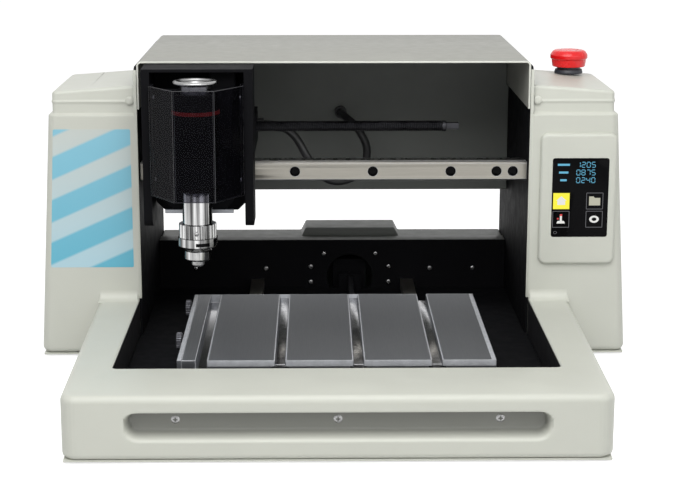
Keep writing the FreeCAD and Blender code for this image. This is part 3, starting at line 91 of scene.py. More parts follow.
def combined(shapes):
    """Several shapes of points, quads and end faces as one, with the faces as plain lists."""
    points = np.concatenate([shape[0] for shape in shapes])
    faces = []
    start = 0
    for shape in shapes:
        faces += (shape[1] + start).tolist()
        for end in shape[2] if len(shape) > 2 else []:
            faces.append([start + corner for corner in end])
        start += len(shape[0])
    return points, faces


def put_mesh(name, shapes, body, material, smooth_angle=40.0, node=None):
    """One object at the origin from shapes in mm, with doubles merged and faces outward."""
    points, faces = combined(shapes)
    mesh = bpy.data.meshes.new(name)
    mesh.from_pydata((points * MM).tolist(), [], faces)
    edit = bmesh.new()
    edit.from_mesh(mesh)
    bmesh.ops.remove_doubles(edit, verts=edit.verts, dist=1e-7)
    bmesh.ops.dissolve_degenerate(edit, edges=edit.edges, dist=1e-8)
    bmesh.ops.recalc_face_normals(edit, faces=edit.faces)
    edit.to_mesh(mesh)
    edit.free()
    piece = finish_piece(name, mesh, body, material, smooth_angle)
    if node:
        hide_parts(node)
    return piece


def finish_piece(name, mesh, body, material, smooth_angle):
    """Link a mesh as a piece that rides on a body and shades smooth below the given angle."""
    piece = bpy.data.objects.new(name, mesh)
    bpy.context.scene.collection.objects.link(piece)
    mesh.shade_smooth()
    mesh.set_sharp_from_angle(angle=math.radians(smooth_angle))
    mesh.materials.append(material)
    if body:
        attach(piece, body)
    return piece


def rounded_copy(node, body, material, width, segments=3, angle=32.0, edge=None):
    """A copy of a CAD node with its edges rolled over by a bevel of the given width in mm."""
    mesh = frame["nodes"][node].data.copy()
    mesh.materials.clear()
    edit = bmesh.new()
    edit.from_mesh(mesh)
    bmesh.ops.remove_doubles(edit, verts=edit.verts, dist=2e-6)
    flat = math.radians(1.0)
    bmesh.ops.dissolve_limit(edit, angle_limit=flat, verts=edit.verts, edges=edit.edges)
    edit.to_mesh(mesh)
    edit.free()
    for layer in list(mesh.uv_layers):
        mesh.uv_layers.remove(layer)
    piece = finish_piece(node + "_skin", mesh, body, material, angle)
    bevel = piece.modifiers.new("rolled edges", "BEVEL")
    bevel.width = width * MM
    bevel.segments = segments
    bevel.limit_method = "ANGLE"
    bevel.angle_limit = math.radians(angle)
    bevel.use_clamp_overlap = True
    bevel.harden_normals = True
    if edge:
        mesh.materials.append(edge)
        bevel.material = 1
    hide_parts(node)
    return piece


# Finishes


class Finish:
    """One material: a principled surface and a short way to add nodes and links."""

    def __init__(self, name, colour, roughness, metallic=0.0):
        self.material = bpy.data.materials.new(name)
        self.material.use_nodes = True
        self.nodes = self.material.node_tree.nodes
        self.links = self.material.node_tree.links
        self.surface = self.nodes["Principled BSDF"]
        self.surface.inputs["Metallic"].default_value = metallic
        self.surface.inputs["Roughness"].default_value = roughness
        self.surface.inputs["Base Color"].default_value = tuple(colour[:3]) + (1.0,)
        self.colour = tuple(colour[:3]) + (1.0,)
        self.place = self.nodes.new("ShaderNodeTexCoord").outputs["Object"]

    def link(self, start, end):
        """Join an output to an input."""
        self.links.new(start, end)

    def axes(self):
        """The place on the object as three sockets named X, Y and Z."""
        split = self.nodes.new("ShaderNodeSeparateXYZ")
        self.link(self.place, split.inputs["Vector"])
        return split.outputs

    def noise(self, size, detail=2.0, stretch=(1.0, 1.0, 1.0)):
        """Noise whose grains are size mm across, drawn out along an axis by stretch."""
        mapping = self.nodes.new("ShaderNodeMapping")
        mapping.inputs["Scale"].default_value = tuple(1.0 / value for value in stretch)
        self.link(self.place, mapping.inputs["Vector"])
        noise = self.nodes.new("ShaderNodeTexNoise")
        noise.inputs["Scale"].default_value = 1.0 / (size * MM)
        noise.inputs["Detail"].default_value = detail
        self.link(mapping.outputs["Vector"], noise.inputs["Vector"])
        return noise.outputs["Fac"]

    def spread(self, value, low, high, start=0.3, stop=0.7):
        """Spread a 0 to 1 value over low to high."""
        node = self.nodes.new("ShaderNodeMapRange")
        for socket, number in zip(("From Min", "From Max", "To Min", "To Max"), (start, stop, low, high)):
            node.inputs[socket].default_value = number
        self.link(value, node.inputs["Value"])
        return node.outputs["Result"]

    def mix(self, factor, first, second):
        """Blend two colours, each a socket or a plain colour."""
        node = self.nodes.new("ShaderNodeMix")
        node.data_type = "RGBA"
        sides = [socket for socket in node.inputs if socket.type == "RGBA"]
        for socket, colour in zip(sides, (first, second)):
            if isinstance(colour, bpy.types.NodeSocket):
                self.link(colour, socket)
            else:
                socket.default_value = tuple(colour[:3]) + (1.0,)
        self.link(factor, node.inputs["Factor"])
        return [socket for socket in node.outputs if socket.type == "RGBA"][0]

    def math(self, operation, first, second=None):
        """One number worked out from one or two others."""
        node = self.nodes.new("ShaderNodeMath")
        node.operation = operation
        self.link(first, node.inputs[0])
        if second is not None:
            self.link(second, node.inputs[1])
        return node.outputs["Value"]

    def tone(self, share):
        """The material's own colour, darker or lighter."""
        return [min(1.0, value * share) for value in self.colour[:3]]

    def paint(self, colour):
        """Take the base colour from a socket."""
        self.link(colour, self.surface.inputs["Base Color"])

    def mottle(self, size, depth):
        """Slow, faint changes of tone."""
        dark = [value * (1.0 - depth) for value in self.colour[:3]]
        light = [min(1.0, value * (1.0 + depth)) for value in self.colour[:3]]
        self.paint(self.mix(self.spread(self.noise(size), 0.0, 1.0), dark, light))

    def rough(self, size, low, high, stretch=(1.0, 1.0, 1.0)):
        """Roughness that wanders between low and high."""
        value = self.spread(self.noise(size, 3.0, stretch), low, high)
        self.link(value, self.surface.inputs["Roughness"])

    def bump(self, height, depth, strength=1.0):
        """Raise the surface by a height socket times depth in mm."""
        node = self.nodes.new("ShaderNodeBump")
        node.inputs["Strength"].default_value = strength
        node.inputs["Distance"].default_value = depth * MM
        self.link(height, node.inputs["Height"])
        self.link(node.outputs["Normal"], self.surface.inputs["Normal"])

    def set(self, **sockets):
        """Set sockets of the surface, named with low lines for spaces."""
        for name, value in sockets.items():
            self.surface.inputs[name.replace("_", " ")].default_value = value


# Outlines and surfaces, all in mm


def unit(vector):
    """The vector at length 1."""
    return vector / np.linalg.norm(vector)


def corner_arc(before, corner, after, radius, steps):
    """The arc of the given radius that touches both runs of a corner, and its outward normals."""
    back = unit(corner - before)
    ahead = unit(after - corner)
    turn = math.atan2(back[0] * ahead[1] - back[1] * ahead[0], back @ ahead)
    side = math.copysign(1.0, turn)
    inward = np.array((-back[1], back[0])) * side
    centre = corner - back * radius * math.tan(abs(turn) / 2) + inward * radius
    steps = steps if radius else 2
    angle = math.atan2(-inward[1], -inward[0]) + np.linspace(0.0, turn, steps)
    radial = np.column_stack([np.cos(angle), np.sin(angle)])
    return centre + radius * radial, radial * side


def rounded_outline(corners, steps=5, spacing=None):
    """Counter-clockwise outline through (u, v, radius) corners, with outward normals at its points."""
    places = [np.array(corner[:2], float) for corner in corners]
    arcs = []
    for here, corner in enumerate(corners):
        after = places[(here + 1) % len(places)]
        arcs.append(corner_arc(places[here - 1], places[here], after, corner[2], steps))
    points = np.concatenate([arc[0] for arc in arcs])
    normals = np.concatenate([arc[1] for arc in arcs])
    if spacing:
        return densified(points, normals, spacing)
    return points, normals


def densified(points, normals, spacing):
    """The same closed outline with more points along its long runs."""
    loop = np.vstack([points, points[:1]])
    turns = np.vstack([normals, normals[:1]])
    run = np.concatenate([[0.0], np.cumsum(np.linalg.norm(np.diff(loop, axis=0), axis=1))])
    stops = np.unique(np.concatenate([run[:-1], np.arange(0.0, run[-1], spacing)]))
    columns = [np.interp(stops, run, side[:, axis]) for side in (loop, turns) for axis in (0, 1)]
    return np.column_stack(columns[:2]), np.column_stack(columns[2:])


def box_corners(left, low, right, high, radius):
    """Counter-clockwise rectangle with one corner radius."""
    return [(left, low, radius), (right, low, radius), (right, high, radius), (left, high, radius)]


AXES = {"top": (0, 1, 2), "front": (0, 2, 1), "side": (2, 0, 1)}


def closed(grid):
    """A grid whose rows are closed rings, with its first and last ring as flat end faces."""
    places, quads = lattice(grid, wrap_columns=True)
    count = grid.shape[1]
    return places, quads, [tuple(range(count)), tuple(range(len(places) - count, len(places)))]


def moulded(outline, levels, plane="top", shift=None):
    """An outline carried through (inset, level) rows and closed flat at both ends.

    A point lies at outline point minus inset times its outward normal, at the row's level.
    """
    points, normals = outline
    inset, level = np.array(levels, float).T
    across = points[None] - inset[:, None, None] * normals[None]
    grid = np.concatenate([across, np.broadcast_to(level[:, None, None], across.shape[:2] + (1,))], axis=2)
    grid = grid[:, :, list(AXES[plane])]
    if shift:
        grid = shift(grid)
    return closed(grid)


def rolled(start, end, radius, steps=5, both=False):
    """Rows from start to end whose end edge, or both edges, are quarter rounds."""
    sign = math.copysign(1.0, end - start)
    angle = np.linspace(0.0, math.pi / 2, steps)
    inset = radius * (1.0 - np.cos(angle))
    rows = [(a, end - sign * radius * (1.0 - math.sin(t))) for a, t in zip(inset, angle)]
    opening = [(a, start + sign * radius * (1.0 - math.sin(t))) for a, t in zip(inset, angle)]
    return (opening[::-1] if both else [(0.0, start)]) + rows


def rounded_line(corners, steps=5):
    """Open line through (r, z, radius) corners, as points from foot to top."""
    places = [np.array(corner[:2], float) for corner in corners]
    runs = [places[0][None]]
    for here in range(1, len(corners) - 1):
        if corners[here][2]:
            arc = corner_arc(places[here - 1], places[here], places[here + 1], corners[here][2], steps)
            runs.append(arc[0])
        else:
            runs.append(places[here][None])
    runs.append(places[-1][None])
    return np.concatenate(runs)


def turned(line, centre, around=64, axis="Z", ripple=None):
    """A line of radius and height turned about an axis through centre.

    The ripple, where given, adds to the radius as a function of angle, height and radius.
    """
    angle = np.linspace(0.0, 2 * math.pi, around, endpoint=False)[None]
    radius = np.broadcast_to(line[:, :1], (len(line), around))
    height = np.broadcast_to(line[:, 1:], radius.shape)
    if ripple:
        radius = radius + ripple(angle, height, radius)
    parts = [radius * np.cos(angle), radius * np.sin(angle), height]
    order = {"Z": (0, 1, 2), "X": (2, 0, 1), "Y": (0, 2, 1)}[axis]
    grid = np.stack([parts[row] for row in order], axis=2) + np.array(centre)
    return lattice(grid, wrap_columns=True)


def smooth_step(value, low, high):
    """0 below low, 1 above high, and a smooth curve between."""
    share = np.clip((value - low) / (high - low), 0.0, 1.0)
    return share * share * (3.0 - 2.0 * share)


def node_box(node):
    """Lowest and highest corner of a CAD node in mm."""
    low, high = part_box(node)
    return np.array(low) / MM, np.array(high) / MM


# Materials


def moulded_plastic(name, colour):
    """Satin moulded plastic with a fine spark-eroded grain."""
    finish = Finish(name, colour, 0.42)
    finish.mottle(60.0, 0.015)
    finish.rough(30.0, 0.38, 0.48)
    finish.bump(finish.noise(0.9, 2.0), 0.05, 0.35)
    finish.set(Coat_Weight=0.08, Coat_Roughness=0.3)
    return finish.material


def powder_coat(name, colour, roughness, grain, sheen=0.5):
    """Powder coat: a fine orange peel over sheet metal."""
    finish = Finish(name, colour, roughness)
    finish.mottle(45.0, 0.03)
    finish.rough(12.0, roughness - 0.05, roughness + 0.06)
    finish.bump(finish.noise(grain, 2.0), 0.02, 0.25)
    finish.set(Specular_IOR_Level=sheen)
    return finish.material


def milled_metal(name, colour, roughness, stretch, streak=0.35):
    """Machined metal whose fine lines run along the stretched axis."""
    finish = Finish(name, colour, roughness, 1.0)
    lines = finish.noise(streak, 3.0, stretch)
    dark = [value * 0.90 for value in colour]
    finish.paint(finish.mix(finish.spread(lines, 0.0, 1.0), dark, colour))
    finish.rough(streak * 2, roughness - 0.06, roughness + 0.08, stretch)
    finish.bump(lines, 0.02, 0.25)
    return finish.material


def polished_metal(name, colour, roughness):
    """Bright turned metal with faint smears."""
    finish = Finish(name, colour, roughness, 1.0)
    finish.rough(9.0, roughness * 0.7, roughness * 1.5)
    finish.bump(finish.noise(0.25, 2.0, (6.0, 6.0, 0.5)), 0.008, 0.2)
    return finish.material


def rubbery(name, colour, roughness):
    """Matte rubber or sheath with a slight bloom."""
    finish = Finish(name, colour, roughness)
    finish.mottle(6.0, 0.12)
    finish.rough(2.5, roughness - 0.08, roughness + 0.08)
    finish.bump(finish.noise(0.6, 2.0), 0.04, 0.3)
    return finish.material


def glossy_plastic(name, colour, roughness, sheen=0.5):
    """Gloss moulding with very slight waviness."""
    finish = Finish(name, colour, roughness)
    finish.mottle(18.0, 0.05)
    finish.rough(8.0, roughness * 0.8, roughness * 1.4)
    finish.bump(finish.noise(7.0, 1.0), 0.05, 0.15)
    finish.set(Specular_IOR_Level=sheen)
    return finish.material


def smoked_acrylic(name, colour):
    """Dark tinted sheet: mostly black gloss that lets a little of what is behind it through."""
    finish = Finish(name, colour, 0.12)
    finish.rough(25.0, 0.08, 0.16)
    finish.bump(finish.noise(20.0, 1.0), 0.03, 0.1)
    finish.set(Specular_IOR_Level=0.06)
    clear = finish.nodes.new("ShaderNodeBsdfTransparent")
    clear.inputs["Color"].default_value = (0.80, 0.80, 0.86, 1.0)
    blend = finish.nodes.new("ShaderNodeMixShader")
    blend.inputs["Fac"].default_value = 0.6
    output = finish.nodes["Material Output"]
    finish.link(finish.surface.outputs["BSDF"], blend.inputs[1])
    finish.link(clear.outputs["BSDF"], blend.inputs[2])
    finish.link(blend.outputs["Shader"], output.inputs["Surface"])
    return finish.material


def hood_finish(colour, front):
    """Powder coat on the hood, with a painted highlight along its front edge."""
    finish = Finish("hood powder coat", colour, 0.46)
    place = finish.axes()
    # painted highlight: the front edge face takes a pale tone for the bright line the light draws along it
    edge = finish.spread(place["Y"], 1.0, 0.0, (front + 0.6) * MM, (front + 1.0) * MM)
    plain = finish.mix(finish.spread(finish.noise(45.0), 0.0, 1.0), finish.tone(0.97), finish.tone(1.03))
    finish.paint(finish.mix(edge, plain, (0.62, 0.63, 0.57)))
    finish.rough(12.0, 0.42, 0.52)
    finish.bump(finish.noise(0.8, 2.0), 0.05, 0.4)
    return finish.material


def turned_chrome(name, colour):
    """Chrome with a painted reflection: long dark and bright bands that run along the spindle."""
    finish = Finish(name, colour, 0.14, 1.0)
    # painted reflection: dark and bright bands in the base colour stand in for the surroundings mirrored in
    # the spindle
    painted_reflection_streaks = finish.spread(finish.noise(5.0, 2.0, (1.0, 1.0, 40.0)), 0.0, 1.0, 0.38, 0.62)
    finish.paint(finish.mix(painted_reflection_streaks, finish.tone(0.16), finish.tone(1.25)))
    finish.rough(9.0, 0.08, 0.2)
    finish.bump(finish.noise(0.3, 2.0, (1.0, 1.0, 20.0)), 0.01, 0.2)
    return finish.material


def table_finish(colour, land):
    """Milled lands, matt and lined along the table, over slot floors that stay bright and mirror-like."""
    finish = Finish("milled table", colour, 0.4, 1.0)
    place = finish.axes()
    upper = finish.spread(place["Z"], 0.0, 1.0, (land - 8.0) * MM, (land - 7.0) * MM)
    lines = finish.noise(0.35, 3.0, (1.0, 60.0, 1.0))
    milled = finish.mix(finish.spread(lines, 0.0, 1.0), finish.tone(0.9), colour)
    finish.paint(finish.mix(upper, (0.60, 0.60, 0.62), milled))
    finish.link(finish.spread(upper, 0.13, 0.42, 0.0, 1.0), finish.surface.inputs["Roughness"])
    finish.bump(lines, 0.02, 0.25)
    return finish.material


def board_finish(name, colour):
    """Solder mask with small paler pads."""
    finish = Finish(name, colour, 0.35)
    pads = finish.spread(finish.noise(3.0, 0.0), 0.0, 1.0, 0.62, 0.66)
    finish.paint(finish.mix(pads, colour, (0.55, 0.50, 0.30)))
    finish.bump(pads, 0.1, 0.4)
    return finish.material


def make_finishes():
    """One material for each slot of the record."""
    look = settings()
    along_x = (60.0, 1.0, 1.0)
    along_y = (1.0, 60.0, 1.0)
    black = look.black_colour
    return {
        "housing_plastic": moulded_plastic("housing plastic", look.housing_colour),
        "hood_paint": hood_finish(look.hood_colour, node_box("hood")[0][1]),
        "black_steel": powder_coat("black powder coat", black, 0.6, 0.7, 0.04),
        "olive_steel": powder_coat("dark grey powder coat", look.panel_colour, 0.45, 0.7, 0.3),
        "table_metal": milled_metal("milled aluminium", look.table_colour, 0.38, along_y),
        "rail_steel": milled_metal("ground rail steel", (0.33, 0.315, 0.28), 0.36, along_x),
        "bright_steel": polished_metal("bright steel", (0.34, 0.34, 0.34), 0.26),
        "black_screw": polished_metal("blackened steel", (0.045, 0.045, 0.05), 0.4),
        "chrome": turned_chrome("chrome", (0.48, 0.48, 0.48)),
        "rubber": rubbery("black rubber", (0.025, 0.025, 0.025), 0.72),
        "cable_black": rubbery("cable sheath", (0.02, 0.02, 0.021), 0.38),
        "smoked_sheet": smoked_acrylic("smoked acrylic", (0.004, 0.004, 0.005)),
        "screen_glass": glossy_plastic("screen glass", (0.001, 0.001, 0.0015), 0.08, 0.06),
        "stop_red": glossy_plastic("stop red", look.stop_colour, 0.22),
        "collar_blue": rubbery("collar blue grey", (0.018, 0.02, 0.028), 0.45),
        "band_red": glossy_plastic("red band", (0.60, 0.025, 0.02), 0.25),
        "black_plastic": moulded_plastic("black plastic", (0.022, 0.022, 0.023)),
        "board_green": board_finish("circuit board", (0.02, 0.11, 0.05)),
    }


finishes = {}


def finish_for(slot):
    """The slot's material, made once for the whole scene."""
    if not finishes:
        finishes.update(make_finishes())
    return finishes[slot]


OWN_FINISH = {
    "spindle_body": "screen_glass",
    "base_sheet": "housing_plastic",
    "spindle_clamp": "black_steel",
}


class NodeFinishes(bpy.types.Operator):
    """Give every CAD node the finish of its slot"""

    bl_idname = "engraver.node_finishes"
    bl_label = "Node finishes"

    def execute(self, context):
        for row in frame["record"]["subparts"]:
            mesh = frame["nodes"][row["node"]].data
            mesh.materials.clear()
            mesh.materials.append(finish_for(OWN_FINISH.get(row["node"], row["material_slot"])))
        return {"FINISHED"}


# Head cable


def cable_route():
    """The route's points in metres: clip on the nut arm, dip behind the rail, grommet in the back panel."""
    points_mm = (
        (-84.5, 117.0, 244.0),
        (-63.0, 117.0, 244.0),
        (-42.0, 117.0, 232.0),
        (-28.0, 114.0, 203.0),
        (-4.0, 128.0, 173.0),
        (31.0, 148.0, 178.0),
        (43.0, 169.0, 206.0),
        (27.0, 185.0, 232.0),
        (15.0, 202.0, 239.0),
        (10.0, 217.0, 241.0),
        (10.0, 230.0, 241.0),
    )
    return np.array(points_mm) * MM


def spline_line(points):
    """Points along a smooth NURBS line through the route, read from a curve that isn't kept."""
    curve = bpy.data.curves.new("route", "CURVE")
    curve.dimensions = "3D"
    curve.resolution_u = 8
    spline = curve.splines.new("NURBS")
    spline.points.add(len(points) - 1)
    spline.points.foreach_set("co", np.column_stack([points, np.ones(len(points))]).ravel())
    spline.order_u = 3
    spline.use_endpoint_u = True
    holder = bpy.data.objects.new("route", curve)
    mesh = bpy.data.meshes.new_from_object(holder)
    line = np.zeros(len(mesh.vertices) * 3)
    mesh.vertices.foreach_get("co", line)
    bpy.data.objects.remove(holder)
    bpy.data.curves.remove(curve)
    bpy.data.meshes.remove(mesh)
    return line.reshape(-1, 3)


def swept_tube(line, radius, around=20):
    """A circle carried along a line: each ring lies across the line, turned as little as possible."""
    ahead = np.gradient(line, axis=0)
    ahead /= np.linalg.norm(ahead, axis=1)[:, None]
    side = np.cross(ahead, (0.31, 0.95, 0.05))
    side /= np.linalg.norm(side, axis=1)[:, None]
    up = np.cross(ahead, side)
    angle = np.linspace(0, 2 * math.pi, around, endpoint=False)
    rings = line[:, None] + radius * (
        np.cos(angle)[None, :, None] * side[:, None] + np.sin(angle)[None, :, None] * up[:, None]
    )
    ends = [np.repeat(line[row][None, None], around, 1) for row in (0, -1)]
    return lattice(np.concatenate([ends[0], rings, ends[1]]), wrap_columns=True)


class HeadCable(bpy.types.Operator):
    """Free cable from the carriage to the back panel"""

    bl_idname = "engraver.head_cable"
    bl_label = "Head cable"

    def execute(self, context):
        line = spline_line(cable_route())
        radius = settings().cable_diameter / 2
        tube = put_mesh("head_cable_tube", [swept_tube(line / MM, radius / MM)], None,
                        finish_for("cable_black"), node="head_cable")
        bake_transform(tube)
        return {"FINISHED"}


# Housing


def grip_depth(grid):
    """Push the front face in where the grip recess is.

    The depth falls from full to none over a smooth step of the distance to a stadium, and that
    step is longer below the stadium and at its ends.
    """
    look = settings()
    deepest = 13.2
    half = look.grip_tall / MM / 2
    x = grid[..., 0]
    z = grid[..., 2] - look.grip_middle / MM
    along = np.maximum(np.abs(x) - (look.grip_half / MM - half), 0.0)
    outside = np.hypot(along, z) - half
    reach = np.hypot(along, z) + 0.01
    below = np.maximum(-z, 0.0) / reach
    ends = along / reach
    soft = 2.4 + 7.5 * (below**2 + 0.45 * ends**2)
    sunk = 1.0 - smooth_step(outside, -1.4, soft - 1.4)
    face = grid[..., 1] < grid[..., 1].min() + 0.05
    grid[..., 1] += np.where(face, deepest * sunk, 0.0)
    return grid


def bezel_corners():
    """The U-shaped plan: front bar, two arms, and the opening for the table."""
    low, high = node_box("front_bezel")
    opening = node_box("floor_pan")[0][1]
    inner = node_box("left_pod")[1][0]
    front_half = 250.0
    return [
        (-front_half, low[1], 15.0),
        (front_half, low[1], 15.0),
        (high[0], high[1], 0.0),
        (-inner, high[1], 0.0),
        (-inner, opening - 0.3, 5.0),
        (inner, opening - 0.3, 5.0),
        (inner, high[1], 0.0),
        (low[0], high[1], 0.0),
    ]


def soften_top(grid, opening, top):
    """Let the roll round the opening be a quarter as large: its rows are lifted towards the top."""
    inside = opening[None, :] & (grid[..., 2] > top - 7.0)
    grid[..., 2] = np.where(inside, top - (top - grid[..., 2]) * 0.25, grid[..., 2])
    return grid


def arm_fillet(left, right, face, top, radius):
    """The hollow sweep from an arm's top up the pod's face: a quarter circle carried across the arm."""
    angle = np.linspace(0.0, math.pi / 2, 9)
    line = np.column_stack([face - radius * (1.0 - np.sin(angle)), top + radius * (1.0 - np.cos(angle))])
    ends = np.array([[face + 0.3, top + radius], [face + 0.3, top - 0.6], [face - radius, top - 0.6]])
    line = np.vstack([line, ends])
    middle = (left + right) / 2
    half = abs(right - left) / 2
    stops = middle + half * np.array((-1.0, -0.93, 0.0, 0.93, 1.0))
    lift = np.array((0.45, 1.0, 1.0, 1.0, 0.45))
    rows = []
    for stop, share in zip(stops, lift):
        height = top + (line[:, 1] - top) * np.where(line[:, 1] > top, share, 1.0)
        rows.append(np.column_stack([np.full(len(line), stop), line[:, 0], height]))
    return closed(np.array(rows))


def square_ends(outline, level):
    """Keep an outline's ends at the given level flat: only their corners stay, and move sideways alone."""
    points, normals = outline
    ends = points[:, 1] > level - 0.02
    across = np.abs(points[:, 0])
    outer, inner = across[ends].max(), across[ends].min()
    middle = (outer + inner) / 2
    keep = ~ends | (across > outer - 1e-3) | (across < inner + 1e-3)
    aside = np.sign(points[:, 0]) * np.where(across > middle, 1.0, -1.0)
    flat = np.column_stack([aside, np.zeros(len(points))])
    normals = np.where(ends[:, None], flat, normals)
    return points[keep], normals[keep]


class FrontBezel(bpy.types.Operator):
    """Moulded frame round the table, with rolled edges and a soft grip recess"""

    bl_idname = "engraver.front_bezel"
    bl_label = "Front bezel"

    def execute(self, context):
        low, high = node_box("front_bezel")
        foot = rolled(high[2], low[2], 5.0, 4)[::-1][:-1]
        side = [(0.0, level) for level in np.arange(low[2] + 6.0, high[2] - 7.0, 0.9)]
        top = rolled(low[2], high[2], 6.5, 7)[1:]
        points, normals = square_ends(rounded_outline(bezel_corners(), 7, spacing=2.0), high[1])
        inner = node_box("right_pod")[0][0]
        opening = (np.abs(points[:, 0]) < inner + 0.5) & (points[:, 1] > low[1] + 50.0)
        normals = normals * np.where(opening, 0.25, 1.0)[:, None]

        def shift(grid):
            return soften_top(grip_depth(grid), opening, high[2])

        shapes = [moulded((points, normals), foot + side + top, shift=shift)]
        shapes += [arm_fillet(side * (inner + 0.6), side * (high[0] - 0.4), high[1], high[2], 11.0)
                   for side in (-1.0, 1.0)]
        put_mesh("bezel_moulding", shapes, "base", bezel_finish(low, high, inner), 35.0, "front_bezel")
        return {"FINISHED"}


def bezel_finish(low, high, inner):
    """Satin plastic with painted shade in the depth of the grip, and a black lining inside the opening."""
    look = settings()
    finish = Finish("bezel plastic", look.housing_colour, 0.42)
    place = finish.axes()
    # painted shade: the back of the grip recess is darkened to about a third of the tone, for the shadow
    # under its upper lip
    sunk = finish.spread(place["Y"], 0.0, 1.0, (low[1] + 1.5) * MM, (low[1] + 12.0) * MM)
    level = finish.spread(place["Z"], 1.0, 0.0, (high[2] - 14.0) * MM, (high[2] - 12.0) * MM)
    ahead = finish.spread(place["Y"], 1.0, 0.0, (low[1] + 20.0) * MM, (low[1] + 22.0) * MM)
    across = finish.math("ABSOLUTE", place["X"])
    between = finish.spread(across, 1.0, 0.0, look.grip_half + 0.010, look.grip_half + 0.012)
    recess = finish.math("MULTIPLY", sunk, level)
    shade = finish.math("MULTIPLY", recess, finish.math("MULTIPLY", ahead, between))
    plain = finish.mix(finish.spread(finish.noise(60.0), 0.0, 1.0), finish.tone(0.985), finish.tone(1.015))
    plain = finish.mix(shade, plain, finish.tone(0.36))
    inside = finish.spread(across, 1.0, 0.0, (inner + 0.1) * MM, (inner + 0.3) * MM)
    under = finish.spread(place["Z"], 1.0, 0.0, (high[2] - 1.2) * MM, (high[2] - 0.6) * MM)
    behind = finish.spread(place["Y"], 0.0, 1.0, (low[1] + 60.0) * MM, (low[1] + 62.0) * MM)
    lining = finish.math("MULTIPLY", finish.math("MULTIPLY", inside, under), behind)
    finish.paint(finish.mix(lining, plain, look.black_colour))
    finish.rough(30.0, 0.38, 0.48)
    finish.bump(finish.noise(0.9, 2.0), 0.05, 0.35)
    return finish.material


def pod_top(x, y):
    """Height of a pod's cap: it falls evenly outwards, and behind its flat on a ramp with a soft start."""
    look = settings()
    low, high = node_box("right_pod")
    outward = (np.abs(x) - low[0]) / (high[0] - low[0])
    rear_run = high[1] - low[1] - look.pod_flat / MM
    beyond = y - low[1] - look.pod_flat / MM
    rearward = (beyond + np.sqrt(beyond**2 + 60.0)) / 2 / rear_run
    return high[2] - look.pod_fall / MM * outward - look.pod_rear_drop / MM * rearward


def pod_rows():
    """Rows of a pod as (inset all round, share of the lean, height).

    A quarter round foot, a straight wall up to the shoulder, then a cove: its inset is a smooth
    step of the height, less a bell-shaped bead.
    """
    look = settings()
    low = node_box("right_pod")[0]
    shoulder = look.pod_shoulder / MM
    step = look.pod_step / MM
    foot = 7.0
    rows = [(foot * (1.0 - math.sin(t)), 0.0, low[2] + foot * (1.0 - math.cos(t)))
            for t in np.linspace(0.0, math.pi / 2, 6)]
    rows += [(0.0, share, low[2] + foot + share * (shoulder - low[2] - foot))
             for share in np.linspace(0.05, 1.0, 14)]
    turn = np.linspace(0.0, 1.36, 24)[1:]
    bead = 0.9 * np.exp(-(((turn - 1.14) / 0.12) ** 2))
    rows += [(step * smooth_step(t, 0.0, 0.26) - b, 1.0, shoulder + look.pod_cove / MM * t)
             for t, b in zip(turn, bead)]
    return rows


def square_side(outline, inner, front, rear):
    """Keep an outline's inner side straight: its corners move along it alone and its points stay between."""
    points, normals = outline
    side = points[:, 0] < inner + 1e-3
    ends = side & ((points[:, 1] < front + 1e-3) | (points[:, 1] > rear - 1e-3))
    keep = ~side | ends | ((points[:, 1] > front + 14.0) & (points[:, 1] < rear - 14.0))
    along = np.column_stack([np.zeros(len(points)), np.where(points[:, 1] > (front + rear) / 2, 1.0, -1.0)])
    normals = np.where(ends[:, None], along, normals)
    return points[keep], normals[keep]


def pod_shape(side):
    """A leaning moulded block: outline rows up to the shoulder's cove, then a rolled, sloping cap."""
    look = settings()
    low, high = node_box("right_pod")
    inner = low[0]
    roll = look.pod_roll / MM
    step = look.pod_step / MM
    corners = [(inner, low[1], 0.0), (high[0], low[1], 11.0), (high[0], high[1], 9.0), (inner, high[1], 0.0)]
    points, normals = square_side(rounded_outline(corners, 7, spacing=9.0), inner, low[1], high[1])
    lean = look.pod_lean / MM * np.maximum(points[:, 0] - inner, 0.0) / (high[0] - inner)
    keep_inner = smooth_step(points[:, 0], inner + 0.1, inner + 2.0)
    free = np.column_stack([keep_inner, np.ones(len(points))])
    layers = []
    for inset, leaning, height in pod_rows():
        place = points - inset * normals * free
        place[:, 0] -= lean * leaning
        level = np.minimum(height, pod_top(place[:, 0], place[:, 1]) - roll - 1.0 + 0.004 * height)
        layers.append(np.column_stack([place, level]))
    for angle in np.linspace(0.0, math.pi / 2, 7):
        inset = step + roll * (1.0 - math.cos(angle))
        place = points - inset * normals * free
        place[:, 0] -= lean
        level = pod_top(place[:, 0], place[:, 1]) - roll * (1.0 - math.sin(angle))
        layers.append(np.column_stack([place, level]))
    layers += cap_layers(layers[-1])
    grid = np.array(layers)
    grid[..., 0] *= side
    grid[..., 1] = np.minimum(grid[..., 1], high[1])
    return closed(grid)


def cap_layers(rim):
    """Rows that close a sloping cap from its rim to its middle line."""
    middle = rim[:, :2].mean(axis=0)
    spread = np.array((0.02, 0.97))
    layers = []
    for share in np.linspace(0.0, 1.0, 7)[1:]:
        target = middle + (rim[:, :2] - middle) * spread
        place = rim[:, :2] + (target - rim[:, :2]) * share
        layers.append(np.column_stack([place, pod_top(place[:, 0], place[:, 1])]))
    return layers


